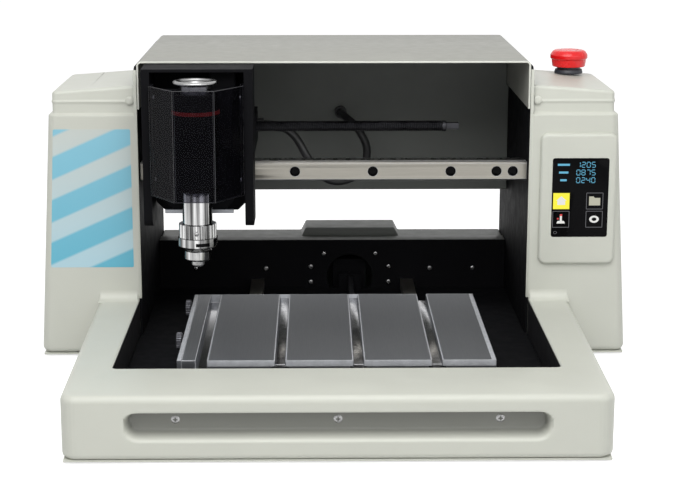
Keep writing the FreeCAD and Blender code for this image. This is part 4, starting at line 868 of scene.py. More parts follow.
class SidePods(bpy.types.Operator):
    """Moulded pods with a coved shoulder and a sloping cap, and a lip over each side plate's edge"""

    bl_idname = "engraver.side_pods"
    bl_label = "Side pods"

    def execute(self, context):
        plastic = finish_for("housing_plastic")
        put_mesh("left_pod_moulding", [pod_shape(-1)], "base", plastic, 35.0, "left_pod")
        put_mesh("right_pod_moulding", [pod_shape(1)], "base", plastic, 35.0, "right_pod")
        low, high = node_box("right_side_plate")
        foot = 66.0
        lips = []
        for side in (-1, 1):
            reach = sorted((side * (low[0] + 0.1), side * (high[0] + 0.4)))
            outline = rounded_outline(box_corners(reach[0], foot, reach[1], high[2] - 3.0, 0.5), 3)
            lips.append(moulded(outline, rolled(low[1] + 0.2, low[1] - 0.5, 0.3, 3), "front"))
        put_mesh("pod_lips", lips, "base", plastic, 35.0)
        return {"FINISHED"}


class SheetHood(bpy.types.Operator):
    """Folded sheet hood with softly bent corners"""

    bl_idname = "engraver.sheet_hood"
    bl_label = "Sheet hood"

    def execute(self, context):
        low, high = node_box("hood")
        thick = 2.0
        corners = [
            (low[0], low[2], 0.6), (low[0] + thick, low[2], 0.6),
            (low[0] + thick, high[2] - thick, 3.0), (high[0] - thick, high[2] - thick, 3.0),
            (high[0] - thick, low[2], 0.6), (high[0], low[2], 0.6),
            (high[0], high[2], 5.0), (low[0], high[2], 5.0),
        ]
        rows = rolled(low[1], high[1], 0.5, 3, both=True)
        sheet = moulded(rounded_outline(corners, 7), rows, "front")
        put_mesh("hood_sheet", [sheet], "base", finish_for("hood_paint"), 35.0, "hood")
        return {"FINISHED"}


# Touch panel, decal and emergency stop


class TouchPanel(bpy.types.Operator):
    """Raised plate with soft corners, and the glass screen with its lit symbols"""

    bl_idname = "engraver.touch_panel"
    bl_label = "Touch panel"

    def execute(self, context):
        low, high = node_box("touch_panel_frame")
        outer = rounded_outline(box_corners(low[0], low[2], high[0], high[2], 8.0), 8)
        rows = rolled(high[1], low[1], 3.4, 7)
        plate = moulded(outer, rows, "front")
        plastic = finish_for("housing_plastic")
        put_mesh("touch_panel_plate", [plate], "base", plastic, 35.0, "touch_panel_frame")
        low, high = node_box("touch_screen")
        face = low[1] - 0.45
        outline = rounded_outline(box_corners(low[0], low[2], high[0], high[2], 2.6), 6)
        glass = moulded(outline, rolled(high[1], face, 0.25, 3), "front")
        put_mesh("screen_glass", [glass], "base", finish_for("screen_glass"), 35.0, "touch_screen")
        add_symbols(low, high, face - 0.04)
        return {"FINISHED"}


def lit(name, colour, strength=1.0):
    """A lit patch of the display."""
    finish = Finish(name, (0.0, 0.0, 0.0), 0.2)
    finish.mottle(4.0, 0.0)
    finish.set(Emission_Color=tuple(colour) + (1.0,), Emission_Strength=strength)
    return finish.material


def patch(u, v, wide, tall, depth, face):
    """A thin flat bar on the screen, from its middle."""
    outline = rounded_outline(box_corners(u - wide / 2, v - tall / 2, u + wide / 2, v + tall / 2, 0.12), 2)
    return moulded(outline, [(0.0, face), (0.0, face - depth)], "front")


def frame_bars(u, v, size, line, face):
    """Four thin bars round a square button."""
    half = size / 2
    bars = [patch(u, v + half * sign, size, line, 0.03, face) for sign in (-1, 1)]
    return bars + [patch(u + half * sign, v, line, size, 0.03, face) for sign in (-1, 1)]


def outlined(points, face, depth=0.05, radius=0.15):
    """A thin flat symbol from its counter-clockwise corners."""
    corners = [(u, v, radius) for u, v in points]
    return moulded(rounded_outline(corners, 3), [(0.0, face), (0.0, face - depth)], "front")


def ring_shape(u, v, outer, inner, face):
    """A flat ring facing the operator, three quarters as tall as it is wide."""
    angle = np.linspace(0.0, 2 * math.pi, 33)[:-1]
    rings = []
    for radius, rise in ((outer, 0.0), (outer, 0.05), (inner, 0.05), (inner, 0.0), (outer, 0.0)):
        across = u + radius * np.cos(angle)
        upward = v + radius * 0.75 * np.sin(angle)
        rings.append(np.column_stack([across, np.full(32, face - rise), upward]))
    return lattice(np.array(rings), wrap_columns=True)


SEGMENTS = {"0": "abcdef", "1": "bc", "2": "abdeg", "4": "bcfg", "5": "acdfg", "7": "abc", "8": "abcdefg"}
SEGMENT_PLACES = {
    "a": (0.5, 1.0, 1), "b": (1.0, 0.75, 0), "c": (1.0, 0.25, 0), "d": (0.5, 0.0, 1),
    "e": (0.0, 0.25, 0), "f": (0.0, 0.75, 0), "g": (0.5, 0.5, 1),
}


def digits(text, left, low, wide, tall, face):
    """Plain seven-bar numbers for the display's read-out."""
    line = tall * 0.12
    bars = []
    for place, digit in enumerate(text):
        start = left + place * wide * 1.5
        for name in SEGMENTS[digit]:
            u, v, level = SEGMENT_PLACES[name]
            size = (wide - line, line) if level else (line, tall / 2 - line)
            bars.append(patch(start + u * wide, low + v * tall, size[0], size[1], 0.03, face))
    return bars


def add_symbols(low, high, face):
    """Read-out numbers above, and four square buttons: home, file, move and job."""
    white = lit("display white", (0.75, 0.75, 0.72))
    numbers = []
    for row, text in enumerate(("1205", "0875", "0240")):
        base = high[2] - 10.0 - row * 8.4
        numbers += digits(text, low[0] + 26.0, base, 3.6, 5.6, face)
        numbers.append(patch(low[0] + 12.0, base + 2.8, 13.0 - row * 3.0, 2.2, 0.03, face))
    put_mesh("display_numbers", numbers, "base", lit("display blue", (0.10, 0.42, 0.62)))
    size = 17.6
    columns = (low[0] + 10.4, high[0] - 14.6)
    rows = (high[2] - 46.8, high[2] - 66.8)
    put_mesh("display_home_button", [patch(columns[0], rows[0], size, size, 0.03, face)], "base",
             lit("display yellow", (0.95, 0.86, 0.02)))
    frames = []
    for u, v in ((columns[1], rows[0]), (columns[0], rows[1]), (columns[1], rows[1])):
        frames += frame_bars(u, v, size, 0.5, face)
    frames.append(ring_shape(low[0] + 4.6, low[2] + 5.0, 1.9, 1.5, face))
    put_mesh("display_button_frames", frames, "base", lit("display grey", (0.12, 0.12, 0.13)))
    house = [(-4.2, -4.2), (4.2, -4.2), (4.2, 0.4), (5.6, 0.4), (0.0, 5.4), (-5.6, 0.4), (-4.2, 0.4)]
    u, v = columns[0], rows[0]
    shapes = [outlined([(u + a, v + b) for a, b in house], face - 0.04)]
    lever = [(-4.6, -4.6), (4.6, -4.6), (3.6, -2.0), (1.2, -1.6),
             (1.2, 3.6), (-1.0, 3.6), (-1.0, -1.6), (-3.6, -2.0)]
    shapes.append(outlined([(u + a, rows[1] + b) for a, b in lever], face))
    shapes.append(ring_shape(columns[1], rows[1], 5.2, 2.6, face))
    put_mesh("display_symbols", shapes, "base", white)
    folder = [(-6.0, -4.8), (6.0, -4.8), (6.0, 3.4), (0.0, 3.4), (-1.2, 5.0), (-6.0, 5.0)]
    shapes = [outlined([(columns[1] + a, v + b) for a, b in folder], face)]
    put_mesh("display_folder", shapes, "base", lit("display cream", (0.45, 0.44, 0.34)))
    knobs = [patch(u + 0.1, rows[1] + 4.6, 2.6, 2.0, 0.08, face),
             patch(u - 3.2, rows[1] + 0.6, 1.8, 1.6, 0.06, face)]
    put_mesh("display_lever_knobs", knobs, "base", lit("display red", (0.65, 0.03, 0.03)))


def decal_finish(low, high):
    """Printed film: pale ground with straight slanting bands that fade to the top."""
    finish = Finish("printed film", (0.62, 0.70, 0.70), 0.35)
    mapping = finish.nodes.new("ShaderNodeMapping")
    mapping.inputs["Rotation"].default_value = (0.0, math.radians(24.0), 0.0)
    finish.link(finish.place, mapping.inputs["Vector"])
    wave = finish.nodes.new("ShaderNodeTexWave")
    wave.bands_direction = "Z"
    wave.inputs["Scale"].default_value = 7.5
    wave.inputs["Distortion"].default_value = 0.0
    finish.link(mapping.outputs["Vector"], wave.inputs["Vector"])
    bands = finish.spread(wave.outputs["Fac"], 0.0, 1.0, 0.35, 0.55)
    place = finish.axes()
    upward = finish.spread(place["Z"], 1.0, 0.0, low * MM, high * MM)
    ground = finish.mix(upward, (0.52, 0.56, 0.53), (0.40, 0.60, 0.68))
    ink = finish.mix(upward, (0.22, 0.50, 0.62), (0.10, 0.42, 0.56))
    finish.paint(finish.mix(bands, ground, ink))
    finish.bump(finish.noise(1.2), 0.02, 0.2)
    finish.set(Coat_Weight=0.3, Coat_Roughness=0.15)
    return finish.material


class PodDecal(bpy.types.Operator):
    """Printed film on the left pod, with plain slanting bands"""

    bl_idname = "engraver.pod_decal"
    bl_label = "Pod decal"

    def execute(self, context):
        face = node_box("left_pod")[0][1]
        left, low, right, high = -306.5, 101.0, -217.0, 252.0
        corners = [(left, low, 1.5), (right, low, 1.5), (right, high, 1.5), (left + 7.5, high, 1.5)]
        film = moulded(rounded_outline(corners, 4), [(0.0, face + 0.1), (0.0, face - 0.12)], "front")
        put_mesh("pod_film", [film], "base", decal_finish(low, high))
        return {"FINISHED"}


class EmergencyStop(bpy.types.Operator):
    """Mushroom head with a skirt and turning arrows, on a turned collar and neck"""

    bl_idname = "engraver.emergency_stop"
    bl_label = "Emergency stop"

    def execute(self, context):
        low, high = node_box("estop_head")
        centre = (low + high) / 2
        radius = (high[0] - low[0]) / 2
        foot = low[2]
        line = rounded_line([
            (0.0, foot, 0.0), (radius * 0.88, foot, 1.0), (radius * 0.93, foot + 8.4, 1.2),
            (radius, foot + 9.4, 1.2), (radius, foot + 13.4, 3.4), (radius * 0.84, high[2] - 0.6, 5.0),
            (0.0, high[2], 0.0),
        ], 6)
        dome = turned(line, (centre[0], centre[1], 0.0), 72)
        put_mesh("stop_mushroom", [dome], "estop_head", finish_for("stop_red"), 50.0, "estop_head")
        add_arrows(centre, high[2], radius)
        low, high = node_box("estop_collar")
        radius = (high[0] - low[0]) / 2
        line = rounded_line([
            (13.3, low[2], 0.0), (radius - 1.6, low[2], 0.4), (radius - 1.6, low[2] + 1.6, 0.4),
            (radius - 2.4, high[2], 0.5), (13.3, high[2], 0.0), (13.3, low[2], 0.0),
        ], 4)
        collar = turned(line, (centre[0], centre[1], 0.0), 64)
        low, high = node_box("estop_stem")
        line = np.array([(0.0, low[2]), (13.0, low[2]), (13.0, high[2]), (0.0, high[2])])
        stem = turned(line, (centre[0], centre[1], 0.0), 64)
        put_mesh("stop_neck", [stem], "estop_stem", finish_for("collar_blue"), 35.0, "estop_stem")
        put_mesh("stop_collar", [collar], "base", finish_for("collar_blue"), 35.0, "estop_collar")
        return {"FINISHED"}


def add_arrows(centre, top, radius):
    """Three pale curved arrows on the head: arcs that thin out behind a broad tip."""
    count = 14
    share = np.linspace(0.0, 1.0, count)
    angle = np.radians(12.0 + 62.0 * share)
    half = np.where(share < 0.72, 0.55, 1.7 * (1.0 - share) / 0.28)
    rows = []
    for side in (-1.0, 1.0):
        reach = radius * 0.50 + side * half
        rows.append(np.stack([reach * np.cos(angle), reach * np.sin(angle)], axis=1))
    shapes = []
    for turn in np.radians((0.0, 120.0, 240.0)):
        spin = np.array(((math.cos(turn), math.sin(turn)), (-math.sin(turn), math.cos(turn))))
        flat = [row @ spin + centre[:2] for row in rows]
        lift = [np.full((count, 1), top + level) for level in (-0.55, 0.02)]
        grid = np.array([np.hstack([flat[0], lift[0]]), np.hstack([flat[0], lift[1]]),
                         np.hstack([flat[1], lift[1]]), np.hstack([flat[1], lift[0]])])
        shapes.append(lattice(grid, wrap_rows=True))
    put_mesh("stop_arrows", shapes, "estop_head", rubbery("arrow print", (0.72, 0.45, 0.45), 0.4))


# Screws, threads and small turned pieces


def loose_parts(node):
    """Boxes of a CAD node's separate bodies in mm: labels spread along its edges until they settle."""
    mesh = frame["nodes"][node].data
    places = np.zeros(len(mesh.vertices) * 3)
    mesh.vertices.foreach_get("co", places)
    edges = np.zeros(len(mesh.edges) * 2, int)
    mesh.edges.foreach_get("vertices", edges)
    places = places.reshape(-1, 3) / MM
    same = np.unique(np.round(places, 2), axis=0, return_inverse=True)[1].ravel()
    ends = same[edges.reshape(-1, 2)]
    label = np.arange(same.max() + 1)
    for _ in range(400):
        before = label.copy()
        lowest = label[ends].min(axis=1)
        np.minimum.at(label, ends[:, 0], lowest)
        np.minimum.at(label, ends[:, 1], lowest)
        if (label == before).all():
            break
    part = label[same]
    return [(places[part == name].min(axis=0), places[part == name].max(axis=0)) for name in np.unique(part)]


def pan_head(low, high, recess=True, rows=14, around=48):
    """A domed head facing the operator: its height falls as a flat power of the radius, less a soft cross."""
    centre = (low + high) / 2
    radius = (high[0] - low[0]) / 2
    tall = high[1] - low[1]
    share = np.concatenate([np.linspace(0.0, 1.0, rows), [1.0]])
    angle = np.linspace(0.0, 2 * math.pi, around, endpoint=False)
    u = radius * share[:, None] * np.cos(angle)
    v = radius * share[:, None] * np.sin(angle)
    rise = tall * (1.0 - 0.55 * share[:, None] ** 3) * np.ones_like(u)
    rise[-1] = 0.0
    if recess:
        half = radius * 0.13
        reach = radius * 0.56
        cross = np.minimum(np.abs(u), np.abs(v))
        along = np.maximum(np.abs(u), np.abs(v))
        sunk = 1.0 - smooth_step(cross, half * 0.6, half * 1.3)
        sunk = sunk * (1.0 - smooth_step(along, reach * 0.75, reach))
        rise[:-1] -= (tall * 0.62 * sunk)[:-1]
    grid = np.stack([centre[0] + u, high[1] - rise, centre[2] + v], axis=2)
    return lattice(grid, wrap_columns=True)


def screw_boss(low, high):
    """A low dome on the pod behind a screw head, wider than the head by its rim."""
    rim = 2.0
    front = np.array((low[0] - rim, high[1] - 0.6, low[2] - rim))
    back = np.array((high[0] + rim, high[1] + 1.6, high[2] + rim))
    return pan_head(front, back, recess=False)


class ScrewHeads(bpy.types.Operator):
    """Domed screw heads with cross recesses, bosses behind those on the pods, and the rail's plain caps"""

    bl_idname = "engraver.screw_heads"
    bl_label = "Screw heads"

    def execute(self, context):
        pod_level = 270.0
        forward = np.array((0.0, 2.4, 0.0))
        heads = []
        bosses = []
        for low, high in loose_parts("housing_screws"):
            if high[2] > pod_level:
                low, high = low - forward, high - forward
                bosses.append(screw_boss(low, high))
            heads.append(pan_head(low, high))
        put_mesh("screw_bosses", bosses, "base", finish_for("housing_plastic"), 40.0)
        put_mesh("pan_heads", heads, "base", finish_for("bright_steel"), 40.0, "housing_screws")
        caps = [pan_head(low, high, recess=False) for low, high in loose_parts("x_rail_caps")]
        put_mesh("rail_plugs", caps, "base", finish_for("screen_glass"), 40.0, "x_rail_caps")
        return {"FINISHED"}


def thread_ripple(depth, pitch, starts, first, last):
    """Thread of round-bottomed grooves: a wave along the height that a turn shifts by its starts."""

    def ripple(angle, height, radius):
        """How far the groove takes the radius in."""
        wave = 0.5 - 0.5 * np.cos(2 * math.pi * (height / pitch - starts * angle / (2 * math.pi)))
        cut = smooth_step(height, first, first + pitch) * (1.0 - smooth_step(height, last - pitch, last))
        return -depth * wave * cut * (radius > 0.5)

    return ripple


def threaded_rod(node, axis, radius, pitch, starts, square=0.0):
    """A round bar with its thread cut in; its far end may be square."""
    low, high = node_box(node)
    centre = (low + high) / 2
    first, last = low[axis], high[axis] - square
    levels = np.arange(first + 0.8, last - 0.8, 0.4)
    line = np.vstack([
        [[0.0, first], [radius - 0.6, first], [radius, first + 0.6]],
        np.column_stack([np.full(len(levels), radius), levels]),
        [[radius, last - 0.6], [radius - 0.6, last], [0.0, last]],
    ])
    place = centre.copy()
    place[axis] = 0.0
    ripple = thread_ripple(radius * 0.2, pitch, starts, first + 3.0, last - 3.0)
    shapes = [turned(line, place, 24, "XYZ"[axis], ripple)]
    if square:
        half = 3.6
        outline = rounded_outline(box_corners(centre[1] - half, centre[2] - half, centre[1] + half,
                                              centre[2] + half, 0.8), 3)
        rows = rolled(last - 1.0, high[axis], 0.6, 3)
        shapes.append(moulded(outline, rows, "side"))
    return shapes


class LeadScrews(bpy.types.Operator):
    """Cross and table screws with their threads"""

    bl_idname = "engraver.lead_screws"
    bl_label = "Lead screws"

    def execute(self, context):
        black = finish_for("black_screw")
        cross = threaded_rod("x_leadscrew", 0, 6.0, 2.0, 4, square=14.0)
        put_mesh("cross_screw_thread", cross, "x_screw", black, 40.0, "x_leadscrew")
        table = threaded_rod("y_leadscrew", 1, 4.0, 2.0, 4)
        put_mesh("table_screw_thread", table, "y_screw", black, 40.0, "y_leadscrew")
        lift = threaded_rod("z_leadscrew", 2, 3.0, 2.0, 4)
        put_mesh("lift_screw_thread", lift, "z_screw", black, 40.0, "z_leadscrew")
        return {"FINISHED"}


class ClampScrews(bpy.types.Operator):
    """Clamp screws with knurled heads"""

    bl_idname = "engraver.clamp_screws"
    bl_label = "Clamp screws"

    def execute(self, context):
        def knurl(angle, height, radius):
            """26 straight grooves round the middle of the head."""
            return -0.5 * (np.cos(26 * angle) > 0.3) * (radius > 7.9) * (np.abs(height - middle) < 2.6)

        for node, body in (("thumb_screw_front", "thumb_front"), ("thumb_screw_rear", "thumb_rear")):
            low, high = node_box(node)
            head = 6.0
            middle = low[0] + head / 2
            radius = (high[2] - low[2]) / 2
            centre = (0.0, (low[1] + high[1]) / 2, (low[2] + high[2]) / 2)
            line = rounded_line([
                (0.0, low[0], 0.0), (radius - 1.6, low[0], 0.8), (radius - 0.6, low[0] + 0.5, 0.2),
                (radius, low[0] + 0.6, 0.1), (radius, low[0] + head - 0.6, 0.1),
                (radius - 0.6, low[0] + head - 0.4, 0.2), (radius - 1.6, low[0] + head, 0.5),
                (3.0, low[0] + head, 0.2), (3.0, high[0], 0.3), (0.0, high[0], 0.0),
            ], 3)
            put_mesh(node + "_knurled", [turned(line, centre, 104, "X", knurl)], body,
                     polished_metal("knurled steel", (0.09, 0.09, 0.10), 0.34), 30.0, node)
        return {"FINISHED"}


# Milled and folded pieces with soft edges


class MilledPieces(bpy.types.Operator):
    """Table, clamp jaw and rails, with a painted highlight on their rolled edges"""

    bl_idname = "engraver.milled_pieces"
    bl_label = "Milled pieces"

    def execute(self, context):
        # painted highlight: the bevel faces take a paler matt tone for the bright lines along the milled
        # edges
        edge = rubbery("milled edge highlight", (0.42, 0.43, 0.45), 0.4)
        land = node_box("table_plate")[1][2]
        rounded_copy("table_plate", "table", table_finish(settings().table_colour, land), 0.9, 2, edge=edge)
        rounded_copy("clamp_jaw", "jaw", finish_for("table_metal"), 0.6, 2, edge=edge)
        rounded_copy("x_rail", "base", finish_for("rail_steel"), 0.9, 2, edge=edge)
        rounded_copy("z_plate_strip", "z_head", finish_for("table_metal"), 0.4, 2)
        return {"FINISHED"}


class SheetPieces(bpy.types.Operator):
    """Folded and cast panels with their edges rolled over"""

    bl_idname = "engraver.sheet_pieces"
    bl_label = "Sheet pieces"

    def execute(self, context):
        olive = finish_for("olive_steel")
        black = finish_for("black_steel")
        rounded_copy("back_panel", "base", olive, 0.8)
        rounded_copy("lower_rear_casing", "base", olive, 1.4)
        rounded_copy("rear_wall", "base", black, 0.6)
        # painted highlight: a thin strip in the paler panel tone on top of the black wall's flange, for the
        # light line along it
        low, high = node_box("rear_wall")
        flange = table_bar(low[0] + 0.5, high[0] - 0.5, low[1] + 0.5, high[1] - 0.5,
                           high[2] - 0.6, high[2] + 0.08)
        put_mesh("wall_flange", [flange], "base", olive, 30.0)
        rounded_copy("left_side_plate", "base", black, 0.5)
        rounded_copy("right_side_plate", "base", black, 0.5)
        rounded_copy("floor_pan", "base", black, 0.8)
        rounded_copy("carriage_housing", "carriage", black, 1.0)
        rounded_copy("carriage_plate", "carriage", black, 0.8)
        rounded_copy("z_plate", "z_head", black, 0.6)
        rim = powder_coat("guard edge", (0.03, 0.03, 0.034), 0.3, 0.7)
        smoked = finish_for("smoked_sheet")
        rounded_copy("spindle_guard", "carriage", smoked, 0.35, 2, angle=20.0, edge=rim)
        return {"FINISHED"}


def table_bar(left, right, front, rear, low, top, roll=0.3):
    """A thin level bar with rolled upper edges."""
    outline = rounded_outline(box_corners(left, front, right, rear, 0.4), 3)
    return moulded(outline, rolled(low, top, roll, 3))


class TableDetails(bpy.types.Operator):
    """Bright slot floors, and painted highlight bars along the edges of the table's lands and over their
    front faces
    """

    bl_idname = "engraver.table_details"
    bl_label = "Table details"

    def execute(self, context):
        low, high = node_box("table_plate")
        jaw = node_box("clamp_jaw")[0][0]
        slots = (-54.0, 21.0, 96.0)
        front, rear, top = low[1] + 0.4, high[1] - 0.4, high[2]
        floors = []
        for place, slot in enumerate(slots):
            end = rear - 13.0 * (place == len(slots) - 1)
            floors.append(table_bar(slot - 4.8, slot + 4.8, front, end, top - 12.8, top - 4.0))
        put_mesh("slot_floors", floors, "table", slot_floor_finish(), 30.0)
        first = jaw + 24.5
        starts = [first] + [slot + 5.0 for slot in slots]
        stops = [slot - 5.0 for slot in slots] + [high[0]]
        # painted highlight: thin bars of a paler matt tone over the lands' edges, and over their front faces
        # where the light falls
        bars = [table_bar(low[0], jaw - 0.1, front, rear, top - 0.8, top + 0.08)]
        bars.append(table_bar(high[0] - 4.5, high[0] - 0.1, front, rear, top - 0.8, top + 0.1))
        for start, stop in zip(starts, stops):
            near, far = start + 0.1, stop - 0.1
            bars.append(table_bar(near, start + 1.3, front, rear, top - 0.8, top + 0.08))
            bars.append(table_bar(stop - 1.3, far, front, rear, top - 0.8, top + 0.08))
            bars.append(table_bar(near, far, low[1] - 0.08, low[1] + 1.3, top - 5.8, top + 0.09))
            bars.append(table_bar(near, far, high[1] - 1.3, high[1] - 0.1, top - 0.8, top + 0.09))
        back = (high[1] - 0.85, high[1] - 0.1)
        bars.append(table_bar(low[0] + 4.5, slots[-1] - 6.0, *back, top - 8.8, top + 0.1))
        put_mesh("land_edge_highlights", bars, "table", rubbery("painted chamfer highlight", (0.36, 0.37, 0.39), 0.35), 30.0)
        return {"FINISHED"}


def slot_floor_finish():
    """Bright, nearly mirror-like slot floors."""
    finish = Finish("slot floor", (0.62, 0.62, 0.64), 0.2, 1.0)
    finish.rough(6.0, 0.16, 0.26)
    finish.bump(finish.noise(0.35, 3.0, (1.0, 60.0, 1.0)), 0.01, 0.2)
    return finish.material


class SpindleDetails(bpy.types.Operator):
    """Open ring on the spindle's neck, lock button and setting window on the depth collar"""

    bl_idname = "engraver.spindle_details"
    bl_label = "Spindle details"

    def execute(self, context):
        low, high = node_box("spindle_cap")
        centre = (low + high) / 2
        radius = (high[0] - low[0]) / 2
        angle = np.linspace(0.0, 2 * math.pi, 21)
        lip = np.column_stack([radius - 2.6 + 2.6 * np.cos(angle), high[2] - 2.0 + 2.0 * np.sin(angle)])
        neck = rounded_line([
            (0.0, low[2], 0.0), (15.4, low[2], 0.0), (15.4, high[2] - 5.0, 1.0),
            (radius - 4.6, high[2] - 3.6, 0.8), (radius - 4.6, high[2] - 2.4, 0.0),
            (12.5, high[2] - 2.6, 0.5), (11.5, high[2] - 4.2, 0.3), (0.0, high[2] - 4.2, 0.0),
        ], 4)
        place = (centre[0], centre[1], 0.0)
        shapes = [turned(lip, place, 72), turned(neck, place, 72)]
        put_mesh("neck_ring", shapes, "z_head", finish_for("bright_steel"), 40.0, "spindle_cap")
        low, high = node_box("depth_flange")
        centre = (low + high) / 2
        radius = (high[0] - low[0]) / 2 + 0.06
        turn = np.radians(np.linspace(-92.0, -50.0, 12))
        rows = []
        for reach, level in ((radius - 0.6, 143.4), (radius, 143.4), (radius, 147.0), (radius - 0.6, 147.0)):
            rows.append(np.column_stack([centre[0] + reach * np.cos(turn), centre[1] + reach * np.sin(turn),
                                         np.full(len(turn), level)]))
        window = lattice(np.array(rows), wrap_rows=True)
        put_mesh("depth_window", [window], "z_head", finish_for("screen_glass"))
        low = node_box("depth_collar")[0]
        corner = np.array((centre[0] - 2.4, low[1] - 1.2, 154.6))
        button = pan_head(corner, corner + (4.8, 2.4, 4.8), recess=False)
        put_mesh("collar_button", [button], "depth_collar", finish_for("bright_steel"), 40.0)
        return {"FINISHED"}


# Camera, lights and floor


class StageSet(bpy.types.Operator):
    """Camera at the photograph's angle, soft studio lamps and a plain pale floor"""

    bl_idname = "engraver.stage_set"
    bl_label = "Camera, lights and floor"

    def execute(self, context):
        add_camera()
        add_lamp("key", (-0.9, -1.7, 1.9), 2.2, 19.0)
        add_lamp("fill", (1.5, -1.6, 1.2), 1.8, 9.0)
        add_lamp("front", (0.0, -0.75, 1.15), 0.9, 9.5)
        add_lamp("back", (0.0, 1.5, 1.9), 1.6, 4.0)
        add_floor()
        set_world()
        context.scene.view_settings.view_transform = "Standard"
        return {"FINISHED"}


def add_camera():
    """Level camera in front of the machine, looking slightly down and to the right."""
    look = settings()
    data = bpy.data.cameras.new("photo view")
    data.sensor_width = SENSOR_WIDTH
    data.lens = look.view_pixels / PHOTO_WIDTH * SENSOR_WIDTH
    data.clip_start = 0.05
    camera = bpy.data.objects.new("photo view", data)
    camera.location = look.view_place
    camera.rotation_euler = (math.pi / 2 - look.view_pitch, 0.0, -look.view_turn)
    bpy.context.scene.collection.objects.link(camera)
    bpy.context.scene.camera = camera


def add_lamp(name, place, size, power):
    """A square soft box that faces the middle of the machine."""
    data = bpy.data.lights.new(name, "AREA")
    data.shape = "SQUARE"
    data.size = size
    data.energy = power * settings().lamp_power
    lamp = bpy.data.objects.new(name, data)
    lamp.location = place
    towards = np.array((0.0, 0.0, 0.15)) - np.array(place)
    flat = math.hypot(towards[0], towards[1])
    lamp.rotation_euler = (math.atan2(flat, -towards[2]), 0.0, math.atan2(-towards[0], towards[1]))
    bpy.context.scene.collection.objects.link(lamp)


def add_floor():
    """Pale floor that shows white to the camera and in reflections, and keeps the shadow."""
    reach = 40.0
    corners = [(-reach, -reach, 0), (reach, -reach, 0), (reach, reach, 0), (-reach, reach, 0)]
    mesh = bpy.data.meshes.new("floor")
    mesh.from_pydata(corners, [], [(0, 1, 2, 3)])
    floor = bpy.data.objects.new("floor", mesh)
    bpy.context.scene.collection.objects.link(floor)
    finish = Finish("pale floor", (0.62, 0.62, 0.62), 0.9)
    finish.mottle(900.0, 0.01)
    glow = finish.nodes.new("ShaderNodeEmission")
    glow.inputs["Color"].default_value = (1.0, 1.0, 1.0, 1.0)
    seen = seen_rays(finish.nodes, finish.links)
    scale = finish.nodes.new("ShaderNodeMath")
    scale.operation = "MULTIPLY"
    scale.inputs[1].default_value = 0.7
    finish.link(seen, scale.inputs[0])
    finish.link(scale.outputs["Value"], glow.inputs["Strength"])
    both = finish.nodes.new("ShaderNodeAddShader")
    finish.link(finish.surface.outputs["BSDF"], both.inputs[0])
    finish.link(glow.outputs["Emission"], both.inputs[1])
    finish.link(both.outputs["Shader"], finish.nodes["Material Output"].inputs["Surface"])
    mesh.materials.append(finish.material)


def seen_rays(nodes, links):
    """1 for rays from the camera, and for those that mirror or pass through the object."""
    path = nodes.new("ShaderNodeLightPath")
    total = path.outputs["Is Camera Ray"]
    for name in ("Is Glossy Ray", "Is Transmission Ray"):
        larger = nodes.new("ShaderNodeMath")
        larger.operation = "MAXIMUM"
        links.new(total, larger.inputs[0])
        links.new(path.outputs[name], larger.inputs[1])
        total = larger.outputs["Value"]
    return total


def set_world():
    """White to the camera, and an even pale light on everything else."""
    world = bpy.data.worlds.new("studio")
    world.use_nodes = True
    nodes = world.node_tree.nodes
    links = world.node_tree.links
    background = nodes["Background"]
    background.inputs["Color"].default_value = (1.0, 1.0, 1.0, 1.0)
    strength = nodes.new("ShaderNodeMapRange")
    strength.inputs["To Min"].default_value = settings().world_light
    strength.inputs["To Max"].default_value = 1.0
    links.new(seen_rays(nodes, links), strength.inputs["Value"])
    links.new(strength.outputs["Result"], background.inputs["Strength"])
    bpy.context.scene.world = world


# Settings, panel and start


def length(name, description, millimetres):
    """A length property whose default is given in mm."""
    return bpy.props.FloatProperty(
        name=name, description=description, subtype="DISTANCE", unit="LENGTH", default=millimetres * MM)


def colour(name, description, default):
    """A colour property."""
    return bpy.props.FloatVectorProperty(name=name, description=description, subtype="COLOR", default=default)


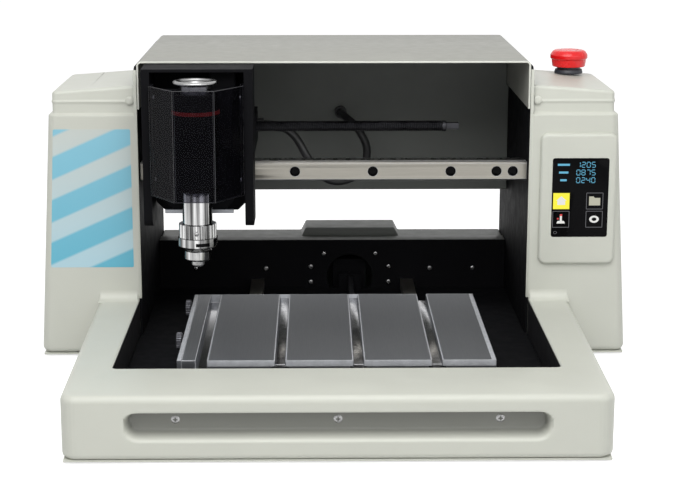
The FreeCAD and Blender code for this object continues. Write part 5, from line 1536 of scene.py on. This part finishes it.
class EngraverSettings(bpy.types.PropertyGroup):
    """Sizes and colours of the machine's dressed pieces, and of the studio"""

    grip_half: length("Grip half length", "Half the length of the grip recess", 189.0)
    grip_tall: length("Grip height", "Height of the grip recess", 19.0)
    grip_middle: length("Grip level", "Height of the grip recess's middle", 38.5)
    pod_flat: length("Pod flat", "Depth of a pod's level top", 160.0)
    pod_fall: length("Pod fall", "How far a pod's top falls outwards", 7.7)
    pod_rear_drop: length("Pod rear drop", "How far a pod's top falls to the rear", 40.0)
    pod_shoulder: length("Pod shoulder", "Height of the top of a pod's leaning wall", 266.0)
    pod_cove: length("Pod cove", "Height of the cove above the shoulder", 13.0)
    pod_step: length("Pod step", "How far the cap stands in from the wall", 4.5)
    pod_lean: length("Pod lean", "How far the wall leans in at the shoulder", 15.5)
    pod_roll: length("Pod roll", "Radius of the cap's rolled edge", 3.5)

    view_place: bpy.props.FloatVectorProperty(
        name="Camera place", description="Where the camera stands", subtype="TRANSLATION", unit="LENGTH",
        default=(-0.01922, -1.7066, 0.5288))
    view_pitch: bpy.props.FloatProperty(
        name="Camera pitch", description="How far the camera looks down", subtype="ANGLE",
        default=math.radians(13.03))
    view_turn: bpy.props.FloatProperty(
        name="Camera turn", description="How far the camera looks to the right", subtype="ANGLE",
        default=math.radians(0.739))
    view_pixels: bpy.props.FloatProperty(
        name="Focal length in pixels", description="Focal length against the photograph's width",
        default=1648.0)
    lamp_power: bpy.props.FloatProperty(
        name="Lamp power", description="Share of the lamps' full power", default=1.0, min=0.0)
    world_light: bpy.props.FloatProperty(
        name="World light", description="Strength of the even light", default=0.45, min=0.0)
    cable_diameter: length("Cable diameter", "Outer diameter of the head cable", 9.0)
    housing_colour: colour("Housing colour", "Moulded pods and bezel", (0.54, 0.55, 0.49))
    hood_colour: colour("Hood colour", "Sheet hood", (0.28, 0.28, 0.25))
    panel_colour: colour("Rear panel colour", "Panel behind the rail, and rear casing", (0.125, 0.132, 0.122))
    black_colour: colour("Black colour", "Black sheet parts", (0.006, 0.006, 0.007))
    table_colour: colour("Table colour", "Milled table", (0.28, 0.29, 0.31))
    stop_colour: colour("Stop colour", "Emergency stop head", (0.74, 0.008, 0.010))


class EngraverPanel(bpy.types.Panel):
    """Lists the operators and the settings"""

    bl_idname = "VIEW3D_PT_engraver"
    bl_label = "Engraver"
    bl_space_type = "VIEW_3D"
    bl_region_type = "UI"
    bl_category = "Engraver"

    def draw(self, context):
        for operator in OPERATORS:
            self.layout.operator(operator.bl_idname)
        for name in EngraverSettings.__annotations__:
            self.layout.prop(settings(), name)


OPERATORS = (
    StageSet,
    HeadCable,
    NodeFinishes,
    FrontBezel,
    SidePods,
    SheetHood,
    TouchPanel,
    PodDecal,
    EmergencyStop,
    ScrewHeads,
    LeadScrews,
    ClampScrews,
    MilledPieces,
    SheetPieces,
    TableDetails,
    SpindleDetails,
)


def register():
    """Tell Blender about the classes and hang the settings on the scene."""
    for group in (EngraverSettings, *OPERATORS, EngraverPanel):
        bpy.utils.register_class(group)
    bpy.types.Scene.engraver = bpy.props.PointerProperty(type=EngraverSettings)


def unregister():
    """Take back what register did, in the other order."""
    del bpy.types.Scene.engraver
    for group in (EngraverPanel, *reversed(OPERATORS), EngraverSettings):
        bpy.utils.unregister_class(group)


def main():
    register()
    for operator in OPERATORS:
        group, name = operator.bl_idname.split(".")
        getattr(getattr(bpy.ops, group), name)()


if __name__ == "__main__":
    main()
